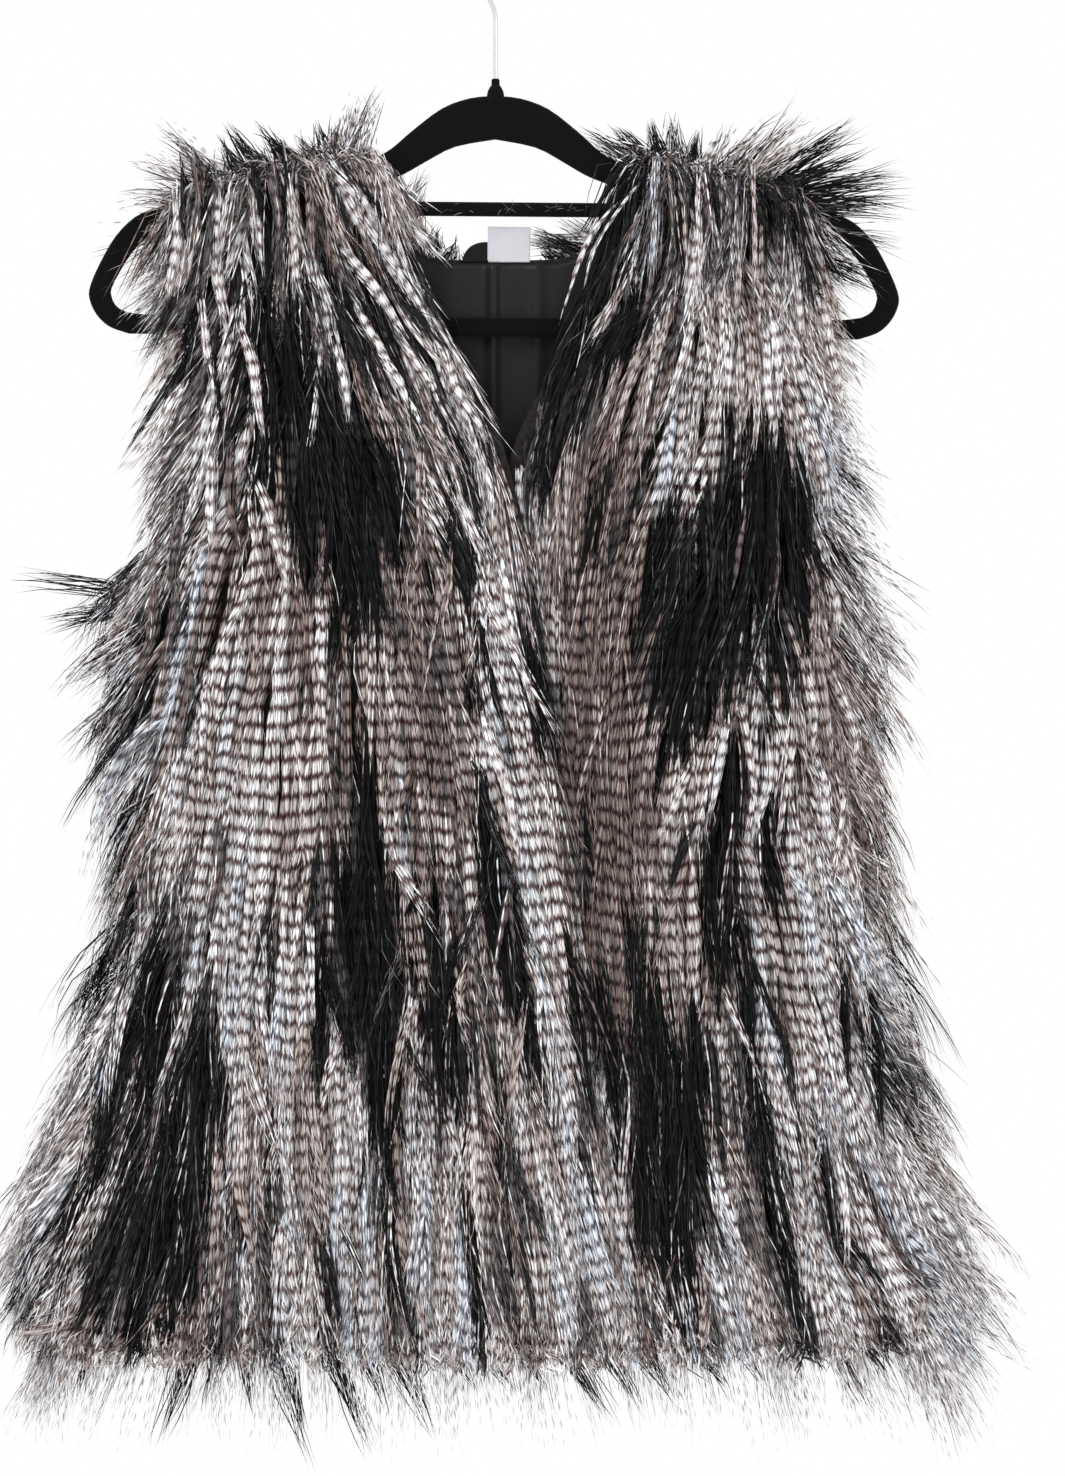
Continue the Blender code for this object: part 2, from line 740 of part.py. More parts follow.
def side_locks(name, grid, sign, chance):
    """Locks that stand out and down from a side seam."""
    cloth, pile, normals = grid
    stations = []
    for line in pile:
        point = line[-1]
        if -point.z > seam_down(point.x) + UNDERARM_DROP + 30 and -point.z < HEM_DOWN - 4:
            out = Vector((sign, 0, 0))
            middle = Vector((point.x, 0, point.z)) + out * (SEAM_GAP + BAR_DEPTH)
            stations.append((middle, Vector((0, BAR_WIDTH / 2, 0)), out))

    def reach(_, middle, station):
        out = REACH["left" if sign < 0 else "right"](-middle.z) * mix(0.7, 1, chance.random())
        return Vector((sign * out, chance.uniform(-3, 3), -SIDE_LOCK_DOWN))

    lock_row(name, stations, BAR_DEPTH, reach)


def armhole_locks(name, grid, column, sign, chance):
    """Locks that stand out from a panel's pile beside the armhole."""
    cloth, pile, normals = grid
    inward = 1 if column == 0 else -1
    stations = []
    for row, line in enumerate(pile[:-1]):
        point = line[column]
        drop = -point.z - seam_down(point.x)
        if 14 < drop < UNDERARM_DROP - 25:
            along = (point - line[column + inward]).normalized()
            out = along.cross(pile[row + 1][column] - pile[row - 1][column]).normalized()
            if out.x * sign < 0:
                out.negate()
            middle = point - along * BAR_WIDTH * 0.5 + out * (ARMHOLE_BAR_GAP + BAR_DEPTH)
            stations.append((middle, along * BAR_WIDTH / 2, out))

    def reach(_, middle, station):
        out = station[2].copy()
        out.z = 0
        near_tip = 1 - ramp(-middle.z - seam_down(middle.x), 20, 100)
        out = out.normalized() * ARMHOLE_LOCK_OUT * mix(0.8, 1.1, chance.random())
        away = 5 if out.y > 0 else -5
        return out + Vector((sign * mix(4, 30, near_tip), away, -ARMHOLE_LOCK_DOWN * (1 - near_tip)))

    lock_row(name, finer(stations, 2), BAR_DEPTH, reach)


def shoulder_locks(name, grid, sign, chance):
    """Locks that stand up and out from a shoulder seam."""
    cloth, pile, normals = grid
    stations = []
    for point, out in zip(pile[0][2:-1], normals[0][2:-1]):
        middle = Vector((point.x, 0, point.z)) + out * (SHOULDER_BAR_GAP + BAR_DEPTH)
        stations.append((middle, Vector((0, BAR_WIDTH / 2, 0)), out))

    def reach(i, middle, station):
        beyond = abs(middle.x) / 170
        up = SHOULDER_LOCK_UP * mix(0.75, 1.2, chance.random())
        return Vector((sign * mix(4, 26, beyond), chance.uniform(-5, 5), up))

    lock_row(name, stations, BAR_DEPTH, reach)


def build():
    clear_objects()
    back = panel_grid("back")
    lap = panel_grid("lap")
    under = panel_grid("under")
    closed_wall("back_panel", back[0], back[1], "fur")
    closed_wall("front_panel_lap", lap[0], lap[1], "fur")
    closed_wall("front_panel_under", under[0], under[1], "fur")
    neck_labels(back_lining())
    hanger()
    hanger_hook()
    chance = random.Random(11)
    hem_locks("hem_locks_back", back, chance)
    hem_locks("hem_locks_lap", lap, chance)
    hem_locks("hem_locks_under", under, chance)
    side_locks("side_locks_left", lap, -1, chance)
    side_locks("side_locks_right", under, 1, chance)
    armhole_locks("armhole_locks_front_left", lap, FRONT_COLUMNS, -1, chance)
    armhole_locks("armhole_locks_front_right", under, FRONT_COLUMNS, 1, chance)
    armhole_locks("armhole_locks_back_left", back, 0, -1, chance)
    armhole_locks("armhole_locks_back_right", back, len(BACK_ANGLES) - 1, 1, chance)
    shoulder_locks("shoulder_locks_left", lap, -1, chance)
    shoulder_locks("shoulder_locks_right", under, 1, chance)


build()
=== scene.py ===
"""The looks of a long pile faux fur vest that hangs on a flocked hanger.

The fur is made of narrow ribbons, a lock of them on each root place, over thin shells of backing cloth.
Sizes are in millimetres, as in the part's source, and are turned into metres when a mesh is made.
Seen from the front, x runs to the right, and "down" is the distance below the hook's bearing point.
"""
import math
from types import SimpleNamespace

import bpy
import numpy as np
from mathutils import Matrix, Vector


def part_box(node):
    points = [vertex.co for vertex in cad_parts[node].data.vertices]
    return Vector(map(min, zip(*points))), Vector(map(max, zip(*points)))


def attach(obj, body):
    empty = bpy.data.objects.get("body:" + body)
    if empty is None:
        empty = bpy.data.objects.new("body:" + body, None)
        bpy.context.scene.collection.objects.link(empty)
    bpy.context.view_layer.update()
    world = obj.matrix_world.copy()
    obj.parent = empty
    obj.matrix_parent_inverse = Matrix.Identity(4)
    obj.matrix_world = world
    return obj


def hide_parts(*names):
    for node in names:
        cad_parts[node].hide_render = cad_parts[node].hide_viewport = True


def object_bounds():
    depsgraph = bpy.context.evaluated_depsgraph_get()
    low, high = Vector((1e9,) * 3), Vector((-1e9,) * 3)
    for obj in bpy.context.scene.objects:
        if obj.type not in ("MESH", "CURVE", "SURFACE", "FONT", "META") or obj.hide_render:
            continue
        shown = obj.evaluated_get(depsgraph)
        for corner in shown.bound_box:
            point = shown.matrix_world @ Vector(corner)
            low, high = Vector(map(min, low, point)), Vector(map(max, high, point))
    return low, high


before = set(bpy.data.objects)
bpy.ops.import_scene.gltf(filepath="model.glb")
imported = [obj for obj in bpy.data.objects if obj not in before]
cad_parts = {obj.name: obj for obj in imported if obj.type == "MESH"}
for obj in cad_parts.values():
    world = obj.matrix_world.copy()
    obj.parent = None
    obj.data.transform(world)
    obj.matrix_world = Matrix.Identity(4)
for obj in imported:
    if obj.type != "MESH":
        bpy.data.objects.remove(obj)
cad_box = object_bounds()

MM = 0.001
QUARTER = math.pi / 2
UP = np.array([0.0, 0.0, 1.0])

# The photograph's frame at the hanger's plane, in metres
VIEW_X = 0.0204
VIEW_Z = -0.456
VIEW_HEIGHT = 0.8148
VIEW_DISTANCE = 2.6
SENSOR = 36

# The cloth, as in the part's source
EDGE_COLUMNS = ("down", "left_side", "right_side", "lap_edge", "under_edge")
EDGES = (
    (134, -172, 168, -67, 71),
    (162, -171, 167, -58, 65),
    (193, -169, 169, -45, 54),
    (230, -167, 171, -28, 41),
    (262, -167, 172, -12, 27),
    (286, -168, 173, 1, 14),
    (325, -172, 176, 12, 1),
    (345, -181, 181, 17, -4),
    (358, -191, 187, 20, -6),
    (395, -194, 189, 24, -9),
    (435, -193, 190, 27, -10),
    (490, -188, 193, 33, -10),
    (556, -197, 200, 41, -10),
    (623, -213, 211, 48, -10),
    (672, -230, 221, 51, -10),
    (738, -241, 233, 51, -10),
    (790, -242, 238, 50, -10),
)
DEPTH_COLUMNS = ("drop", "front", "front_edge", "back", "back_edge")
DEPTHS = (
    (0, 0.15, 0.15, 0.15, 0.15),
    (1.3, 2.7, 2.7, 2.7, 2.7),
    (3.5, 3.8, 3.8, 3.8, 3.8),
    (12, 5.2, 5.2, 5.0, 5.0),
    (45, 9, 8.5, 7.2, 7.2),
    (85, 13.5, 12.5, 9.5, 9.5),
    (130, 17.5, 14, 12.5, 11),
    (165, 20, 11.5, 14.5, 9.5),
    (186, 21, 5, 15.5, 4.5),
    (197, 21.5, 0.15, 16, 0.15),
    (260, 23.5, 0.15, 17.5, 0.15),
    (400, 26, 0.15, 19.5, 0.15),
    (630, 29, 0.15, 21.5, 0.15),
)
HEM_DOWN = 789
SEAM_MIDDLE_DOWN = 150
ROW_TRIES = 8
NECK_LEFT = -67
NECK_RIGHT = 71
BACK_NECK_DOWN = 193
BACK_NECK_POWER = 6
LAP_LIFT = 8
LAP_LIFT_FROM = 60
LAP_LIFT_TO = 22
FLUTE_DEPTH = 3.2
FLUTE_WIDTH = 118
FLUTE_TOP_DROP = 190
FLUTE_PHASE = {"front": 0.6, "back": 2.1}
PANEL_DROP = 628
UNDERARM_DROP = 195
SEAM_OVER_ARM = 1.2
HANGER_TILT = math.radians(0.46)
ARM_TOP_START = (66, 136.3)
ARM_TOP_END = (187.4, 164.9)
LINING_END_DOWN = 430
PLEAT_AT = -1.4
FOLD_AT = 23
LABEL_LEFT = -4.1
LABEL_RIGHT = 19
LABEL_TOP_DOWN = 173.5
LOOP_LEFT = -18.5
LOOP_TOP_DOWN = 181.5
SEAM_GAP = 0.3

WIRE_RADIUS = 1.3
HOOK_RADIUS = 21.5
HOOK_LEAN = math.radians(45)
HOOK_BEND_RADIUS = 24
HOOK_END_ANGLE = math.radians(-38)
STEM_END_DOWN = 109.7

BACKING = 1.6
STEP_ACROSS = 1.5
STEP_ALONG = 0.7

# Bars across the hair: full up to one share of a half repeat, and gone from another
BAR_PITCH = 9.5
BARS_IN_MAP = 16
BAR_FULL_TO = 0.05
BAR_CLEAR_FROM = 0.34
SOFT_BAR = 0.45

# The hair's tones: the name, the clear part's colour and the bars' colour, as screen colours
TONES = (
    ("black", (0.036, 0.036, 0.046), (0.018, 0.018, 0.024)),
    ("charcoal", (0.150, 0.145, 0.155), (0.060, 0.060, 0.068)),
    ("grey", (0.400, 0.390, 0.400), (0.150, 0.145, 0.155)),
    ("brown", (0.560, 0.480, 0.455), (0.205, 0.125, 0.118)),
    ("taupe", (0.785, 0.745, 0.735), (0.300, 0.190, 0.180)),
    ("cream", (0.945, 0.935, 0.935), (0.330, 0.228, 0.222)),
    ("white", (0.990, 0.990, 1.000), (0.415, 0.335, 0.335)),
    ("blue", (0.885, 0.910, 0.950), (0.330, 0.335, 0.370)),
)

# What the locks of a region are made of, as shares of the tones in the same order
MIXES = {
    "base": (0.05, 0.04, 0.07, 0.10, 0.20, 0.34, 0.17, 0.03),
    "cool": (0.02, 0.03, 0.09, 0.02, 0.15, 0.33, 0.20, 0.16),
    # In the black mix, the charcoal and grey shares are painted sheen on the black hair
    "black": (0.76, 0.16, 0.06, 0.0, 0.01, 0.01, 0.0, 0.0),
    # The brown mix is darkened by painted shade for the recess under the lap's edge: its black, charcoal and
    # grey shares are raised and its taupe and cream lowered
    "brown": (0.09, 0.07, 0.04, 0.62, 0.16, 0.02, 0.0, 0.0),
    "cream": (0.03, 0.04, 0.06, 0.04, 0.20, 0.44, 0.19, 0.0),
    "white": (0.03, 0.03, 0.04, 0.0, 0.06, 0.32, 0.46, 0.06),
    "blue": (0.05, 0.06, 0.10, 0.0, 0.04, 0.16, 0.24, 0.35),
    "grey": (0.14, 0.20, 0.28, 0.03, 0.14, 0.16, 0.03, 0.02),
    "lapel": (0.09, 0.14, 0.16, 0.0, 0.10, 0.24, 0.24, 0.03),
    "pale": (0.02, 0.06, 0.16, 0.0, 0.05, 0.29, 0.32, 0.10),
    "taupe": (0.02, 0.03, 0.04, 0.26, 0.44, 0.19, 0.02, 0.0),
    "crown": (0.26, 0.24, 0.22, 0.0, 0.09, 0.12, 0.06, 0.01),
    "dark": (0.50, 0.20, 0.12, 0.0, 0.03, 0.05, 0.05, 0.05),
}

# The tone that most hairs of a long lock have
LOCK_TONES = {
    "white": 6, "cream": 5.3, "pale": 5, "blue": 6.6, "taupe": 4.2,
    "brown": 3.2, "grey": 2.6, "dark": 1, "black": 0,
}

# Regions of the fronts: x and down of the middle, half width, half height, degrees to the right of straight
# down, mix and strength
PATCHES = (
    (-124, 206, 10, 26, 2, "black", 24),
    (-114, 244, 15, 24, 10, "black", 40),
    (-100, 280, 24, 22, 10, "black", 40),
    (-82, 316, 32, 22, 6, "black", 40),
    (-78, 346, 29, 18, 0, "black", 40),
    (-72, 374, 13, 20, 0, "black", 30),
    (-66, 404, 6, 18, 0, "black", 14),
    (-69, 492, 8, 36, 0, "black", 24),
    (-67, 536, 17, 28, 0, "black", 40),
    (-58, 580, 33, 38, 0, "black", 40),
    (-57, 618, 30, 30, 0, "black", 40),
    (-58, 655, 10, 28, 0, "black", 24),
    (147, 308, 20, 20, 0, "dark", 14),
    (140, 338, 30, 24, -12, "black", 20),
    (112, 360, 30, 26, -22, "black", 40),
    (104, 394, 29, 30, -8, "black", 40),
    (147, 378, 22, 32, -12, "dark", 16),
    (100, 426, 22, 22, -10, "black", 30),
    (141, 412, 18, 26, -14, "dark", 12),
    (101, 452, 11, 16, -10, "black", 20),
    (108, 158, 26, 12, 0, "dark", 8),
    (92, 168, 10, 30, 0, "cream", 8),
    (148, 168, 15, 16, 30, "black", 16),
    (80, 575, 7, 30, -2, "dark", 9),
    (89, 628, 24, 36, 0, "black", 40),
    (91, 675, 26, 36, 2, "black", 40),
    (96, 714, 22, 30, 3, "black", 40),
    (98, 750, 14, 24, 4, "black", 24),
    (-192, 745, 25, 34, -6, "black", 34),
    (-180, 650, 34, 60, -6, "dark", 12),
    (-184, 720, 38, 50, -6, "dark", 14),
    (-200, 480, 12, 80, -4, "dark", 8),
    (-214, 600, 12, 60, -14, "dark", 7),
    (66, 178, 26, 24, -10, "black", 30),
    (58, 214, 27, 30, -20, "black", 36),
    (38, 262, 17, 30, -24, "black", 24),
    (24, 300, 9, 20, -20, "dark", 12),
    (143, 296, 17, 16, -4, "dark", 10),
    (214, 590, 9, 50, 8, "black", 14),
    (204, 640, 10, 50, 8, "dark", 10),
    (198, 745, 9, 40, 8, "dark", 9),
    (-8, 404, 5, 34, 4, "black", 14),
    (-19, 356, 7, 30, 12, "black", 14),
    (20, 430, 6, 32, 12, "black", 14),
    (4, 452, 4, 30, 8, "black", 10),
    (-3, 520, 5, 34, 4, "black", 12),
    (33, 464, 5, 34, 10, "black", 12),
    (12, 585, 6, 46, 8, "black", 12),
    (26, 640, 5, 40, 8, "dark", 9),
    (-132, 212, 7, 60, -4, "dark", 6),
    (-40, 222, 4, 50, 27, "dark", 4),
    (-66, 214, 4, 46, 26, "dark", 4),
    (-22, 262, 3, 40, 26, "dark", 4),
    (126, 482, 9, 38, 0, "black", 16),
    (146, 505, 8, 38, 4, "dark", 14),
    (118, 540, 8, 38, 2, "dark", 12),
    (-150, 640, 7, 44, 0, "black", 8),
    (-104, 690, 4, 40, 2, "dark", 4),
    (-20, 690, 4, 40, 4, "dark", 3),
    (-140, 460, 6, 40, -6, "dark", 5),
    (-126, 600, 30, 70, 2, "blue", 12),
    (-165, 555, 16, 30, -4, "blue", 5),
    (92, 300, 26, 16, -10, "blue", 7),
    (184, 310, 18, 40, 8, "blue", 6),
    (176, 600, 28, 66, 8, "blue", 10),
    (-130, 735, 34, 40, 0, "blue", 12),
    (20, 740, 60, 40, 6, "blue", 6),
    (60, 463, 23, 160, -2, "brown", 30),
    (60, 330, 18, 50, -14, "brown", 7),
    (-50, 405, 24, 64, 2, "brown", 3),
    (-50, 405, 26, 64, 2, "taupe", 12),
    (-110, 404, 26, 58, 0, "taupe", 6),
    (88, 560, 22, 60, 0, "taupe", 6),
    (150, 240, 24, 44, 4, "cream", 5),
    (180, 780, 50, 30, 8, "grey", 3),
    (186, 430, 22, 44, 8, "taupe", 5),
    (-141, 480, 32, 90, -4, "white", 8),
    (12, 470, 20, 100, 12, "white", 6),
    (-60, 215, 52, 40, 28, "lapel", 12),
    (-18, 285, 34, 54, 26, "lapel", 12),
    (-150, 215, 30, 60, -12, "lapel", 5),
    (-166, 230, 12, 60, -12, "pale", 3),
    (-180, 300, 20, 60, -16, "pale", 7),
    (-184, 340, 20, 60, -20, "pale", 3),
    (120, 205, 44, 44, 6, "lapel", 5),
    (130, 520, 34, 60, 2, "cream", 3),
    (-20, 620, 30, 80, 4, "cream", 3),
    (150, 690, 30, 60, 6, "grey", 2),
    (-230, 740, 18, 70, -18, "pale", 3),
    (114, 172, 40, 22, 0, "lapel", 8),
    (226, 700, 26, 100, 14, "pale", 12),
    (-190, 385, 20, 26, -20, "dark", 8),
    (-120, 700, 50, 90, 0, "cool", 4),
    (-40, 710, 120, 110, 4, "cool", 10),
    (150, 700, 110, 100, 8, "cool", 9),
)

# Where the hair points on the fronts: x, down, and degrees to the right of straight down
LEANS = (
    (-82, 158, 26), (-62, 190, 29), (-38, 240, 28), (-10, 290, 26), (8, 330, 17),
    (-78, 200, 26), (-56, 240, 28), (-30, 290, 26), (-48, 270, 22), (-100, 200, 8),
    (-110, 170, 8), (-105, 230, 4), (-85, 290, 8), (-45, 300, 18), (-70, 360, 4),
    (-150, 180, -14), (-168, 200, -30), (-172, 260, -30), (-150, 280, -12), (-178, 330, -30),
    (-190, 400, -26), (-150, 400, -8), (-110, 400, -2), (-30, 400, 8), (12, 420, 14),
    (30, 500, 13), (44, 600, 11), (50, 700, 8), (-25, 500, 5), (-65, 520, 1),
    (-110, 540, 1), (-150, 540, -7), (-185, 540, -16), (-210, 600, -20), (-226, 680, -24),
    (-180, 660, -9), (-130, 660, 1), (-70, 680, 1), (-20, 700, 5), (20, 740, 8),
    (-236, 760, -26), (-190, 760, -12), (-120, 760, 2), (-50, 770, 4), (45, 780, 12),
    (82, 160, -22), (60, 210, -25), (38, 260, -24), (20, 300, -16), (108, 180, -4),
    (140, 190, 6), (165, 180, 26), (172, 230, 30), (172, 290, 24), (120, 260, -10),
    (85, 285, -20), (60, 320, -10), (50, 380, -3), (56, 480, 1), (68, 580, 3),
    (108, 330, -18), (144, 300, -14), (182, 320, 24), (122, 370, -22),
    (150, 345, -10), (158, 400, 4), (176, 370, 22),
    (192, 410, 24), (98, 420, -16), (125, 440, -9), (150, 460, -3), (186, 480, 20),
    (115, 560, 1), (176, 440, 14),
    (165, 560, 8), (205, 580, 22), (100, 660, 5), (150, 670, 9), (205, 660, 20),
    (232, 700, 28), (90, 760, 12), (150, 770, 15), (205, 770, 22), (240, 780, 30),
)
LEAN_REACH = 27
REGION_BORDER = (0.75, 1.25)

# The same at the sides of the back, high up and at the hem
BACK_SIDE_LEANS = (10, 26)

# How the fronts' regions are laid on the back
BACK_SHIFT = 12
BACK_NARROWING = 0.9
BACK_TURNED_FROM_DOWN = 260
BACK_TURN = 930
BACK_DROP = 60

# Long locks that lie on top of the fur: x and down of the start and of the end, the bow to the side, the
# width, the mix and the number of hairs
LAP_LOCKS = (
    (-98, 136, -57, 193, 3.9, 7.2, "white", 50),
    (-87, 153, -30, 242, 2.8, 6.6, "white", 60),
    (-39, 228, -5, 295, 1.7, 6.6, "cream", 50),
    (-94, 146, -50, 214, 1.7, 6.6, "white", 60),
    (-91, 178, -42, 250, 1.7, 7.2, "white", 60),
    (-55, 231, -14, 298, 1.1, 7.2, "cream", 50),
    (-86, 142, -42, 209, 5.0, 3.9, "black", 40),
    (-66, 214, -27, 278, 1.7, 3.3, "dark", 36),
    (-100, 159, -80, 214, -1.1, 6.1, "grey", 50),
    (-100, 204, -79, 285, 2.8, 7.7, "white", 60),
    (-71, 238, -35, 292, 1.1, 6.1, "white", 50),
    (-80, 212, -53, 269, 1.1, 6.6, "cream", 50),
    (-110, 137, -106, 214, -2.2, 7.2, "cream", 60),
    (-124, 137, -118, 193, 2.2, 6.1, "grey", 50),
    (-151, 153, -147, 238, -2.8, 7.7, "cream", 60),
    (-140, 225, -126, 295, 2.2, 7.2, "cream", 60),
    (-163, 209, -152, 279, 1.7, 6.6, "cream", 50),
    (-172, 153, -179, 218, 2.2, 6.6, "white", 50),
    (-160, 142, -165, 192, 1.7, 6.1, "grey", 50),
    (-158, 286, -154, 358, 2.8, 6.6, "white", 60),
    (-145, 286, -137, 358, -2.2, 6.6, "grey", 50),
    (-134, 305, -112, 374, 2.2, 7.2, "cream", 60),
    (-96, 214, -83, 280, 1.7, 4.4, "black", 40),
    (-156, 231, -149, 297, 1.1, 4.4, "black", 40),
    (-99, 131, -68, 179, 4.4, 3.9, "dark", 36),
    (-10, 369, 25, 452, 2.8, 6.6, "cream", 60),
    (-12, 429, 9, 497, 1.7, 6.6, "white", 60),
    (-2, 452, 16, 534, 1.7, 6.6, "cream", 60),
    (-14, 380, 5, 454, 1.7, 5.0, "black", 40),
    (-14, 463, 2, 504, 1.1, 5.0, "black", 40),
    (-170, 308, -176, 380, 2.2, 6.6, "grey", 50),
    (-180, 358, -191, 429, 2.2, 6.6, "grey", 50),
    (-148, 490, -155, 562, 2.2, 6.6, "grey", 50),
    (-156, 140, -159, 187, -1.7, 4.4, "black", 36),
    (-131, 137, -129, 181, 1.1, 4.4, "dark", 36),
    (-115, 136, -113, 177, 1.1, 3.9, "black", 36),
    (-170, 147, -169, 193, 0.0, 3.9, "dark", 30),
    (-171, 358, -180, 429, 2.2, 6.1, "grey", 40),
    (-165, 402, -171, 468, 2.2, 5.5, "grey", 40),
)
UNDER_LOCKS = (
    (144, 159, 148, 231, -1.7, 7.7, "taupe", 60),
    (144, 225, 149, 286, 1.7, 7.2, "white", 60),
    (127, 156, 131, 231, 1.7, 6.6, "taupe", 50),
    (113, 151, 115, 209, 1.7, 6.1, "grey", 50),
    (100, 142, 104, 206, 1.7, 5.5, "grey", 50),
    (163, 181, 166, 242, 1.7, 6.6, "pale", 50),
    (71, 159, 36, 231, -6.6, 2.2, "cream", 16),
    (88, 159, 61, 220, -5.0, 2.2, "grey", 16),
    (80, 153, 47, 214, -5.5, 1.7, "white", 10),
    (125, 435, 115, 498, 1.7, 8.3, "white", 60),
    (148, 452, 139, 512, 1.7, 8.3, "white", 60),
    (166, 410, 170, 468, 1.1, 6.6, "white", 50),
    (168, 457, 178, 518, 1.7, 8.3, "white", 60),
    (108, 463, 85, 515, 1.7, 7.2, "cream", 60),
    (154, 518, 175, 573, 1.7, 7.7, "blue", 60),
    (136, 435, 128, 523, 1.1, 5.0, "black", 50),
    (113, 485, 91, 545, 1.1, 5.0, "dark", 40),
    (157, 446, 154, 518, 1.1, 4.4, "black", 40),
    # These two grey locks in the black patch are painted sheen on the black hair
    (138, 308, 126, 380, 2.2, 3.9, "grey", 24),
    (153, 325, 145, 402, 2.2, 3.9, "grey", 24),
    (122, 336, 107, 407, 2.2, 3.3, "dark", 24),
    (96, 178, 80, 231, -2.8, 5.0, "grey", 40),
    (176, 214, 187, 275, 1.7, 6.1, "pale", 50),
    (187, 545, 208, 612, 1.7, 6.6, "blue", 50),
    (107, 144, 101, 214, -1.7, 6.6, "black", 50),
    (113, 148, 125, 193, 1.7, 5.0, "black", 40),
    (122, 151, 136, 193, 2.2, 5.0, "grey", 40),
    (132, 155, 149, 187, 2.2, 5.0, "dark", 36),
    (142, 157, 163, 187, 3.3, 5.0, "dark", 36),
    (95, 147, 83, 193, -2.2, 5.0, "grey", 36),
    (166, 269, 176, 336, 2.2, 6.1, "pale", 40),
    (171, 336, 181, 402, 2.2, 5.5, "pale", 40),
    (178, 413, 188, 479, 2.2, 6.1, "pale", 40),
    (58, 358, 50, 435, 1.1, 5.0, "brown", 40),
    (36, 308, 31, 380, 1.1, 5.0, "brown", 40),
    (182, 554, 189, 656, 2.2, 5.5, "black", 60),
    (193, 578, 208, 683, 2.8, 5.0, "black", 50),
    (152, 601, 164, 700, 2.2, 5.0, "dark", 50),
    (113, 606, 125, 711, 2.2, 5.0, "dark", 50),
    (132, 545, 138, 623, 1.7, 5.0, "black", 50),
    (168, 645, 186, 744, 2.2, 5.0, "dark", 50),
)

LONG_LOCKS = {"lap": LAP_LOCKS, "under": UNDER_LOCKS, "back": ()}

# Tufts at the shoulders, the armholes and the hem: x, down and y of the root, degrees to the right of
# straight up, the length, the spread, the mix and the number of hairs
TUFTS = (
    (-79, 140, -3, 16, 52, 6, "pale", 50),
    (-82, 140, 2, 4, 44, 9, "cream", 60),
    (-87, 141, -4, -4, 26, 9, "grey", 60),
    (-91, 142, 2, -16, 33, 5, "black", 40),
    (-97, 143, -4, -30, 24, 14, "grey", 60),
    (-104, 145, 3, -38, 30, 12, "cream", 50),
    (-110, 146, -4, -32, 36, 5, "black", 50),
    (-117, 148, 2, -44, 26, 14, "grey", 60),
    (-124, 149, -4, -36, 40, 5, "black", 50),
    (-130, 151, 2, -52, 34, 14, "cream", 60),
    (-136, 152, -5, -28, 32, 5, "black", 40),
    (-142, 154, 3, -56, 52, 10, "pale", 50),
    (-147, 155, -3, -40, 60, 6, "grey", 36),
    (-151, 157, 3, -62, 58, 10, "cream", 50),
    (-156, 160, -6, -80, 56, 12, "pale", 50),
    (-158, 166, -8, -70, 36, 18, "grey", 60),
    (-160, 174, 4, -96, 58, 14, "pale", 50),
    (-162, 184, -8, -108, 50, 14, "cream", 50),
    (-165, 196, -8, -120, 48, 14, "pale", 50),
    (78, 141, -4, -52, 34, 8, "grey", 50),
    (86, 142, 2, -36, 36, 7, "black", 50),
    (94, 144, -3, -18, 32, 6, "black", 50),
    (101, 145, -2, -4, 40, 6, "grey", 50),
    (107, 146, 2, 10, 30, 6, "black", 50),
    (113, 148, 2, 26, 38, 8, "cream", 50),
    (121, 150, -3, 36, 44, 10, "cream", 50),
    (128, 152, 2, 38, 64, 7, "grey", 50),
    (136, 153, -2, 46, 60, 9, "cream", 50),
    (144, 155, 2, 50, 74, 6, "black", 50),
    (150, 157, -3, 62, 62, 8, "black", 60),
    (156, 159, 2, 70, 74, 6, "black", 60),
    (158, 165, -4, 80, 70, 7, "black", 60),
    (160, 175, 3, 92, 60, 9, "grey", 50),
    (162, 188, -6, 104, 50, 10, "black", 50),
    (-192, 378, 0, -74, 76, 4, "black", 24),
    (-192, 386, 3, -90, 60, 7, "black", 30),
    (-190, 400, -3, -112, 58, 9, "grey", 36),
    (-190, 424, 2, -128, 58, 9, "grey", 36),
    (190, 384, 0, 126, 54, 8, "grey", 30),
    (190, 424, 2, 134, 50, 7, "black", 30),
    (-150, 787, -18, -168, 34, 5, "black", 20),
    (-138, 787, -18, 174, 42, 5, "black", 20),
    (-72, 787, -24, 160, 36, 5, "black", 18),
    (14, 787, -28, 150, 32, 5, "black", 18),
    (58, 787, -27, 148, 40, 5, "black", 18),
    (134, 787, -22, 150, 28, 5, "grey", 18),
    (-166, 786, -14, -161, 58, 5, "black", 26),
    (-224, 782, -6, -172, 40, 6, "black", 20),
    (-119, 787, -22, 165, 66, 5, "black", 26),
    (-93, 787, -24, 156, 62, 5, "black", 34),
    (-56, 787, -26, 155, 56, 5, "black", 26),
    (-28, 787, -28, 142, 30, 6, "black", 20),
    (-10, 787, -28, 138, 32, 6, "black", 20),
    (36, 787, -28, 146, 48, 5, "black", 26),
    (80, 787, -26, 150, 34, 6, "black", 22),
    (108, 787, -24, 142, 32, 6, "black", 22),
    (190, 785, -14, 158, 44, 6, "grey", 26),
)
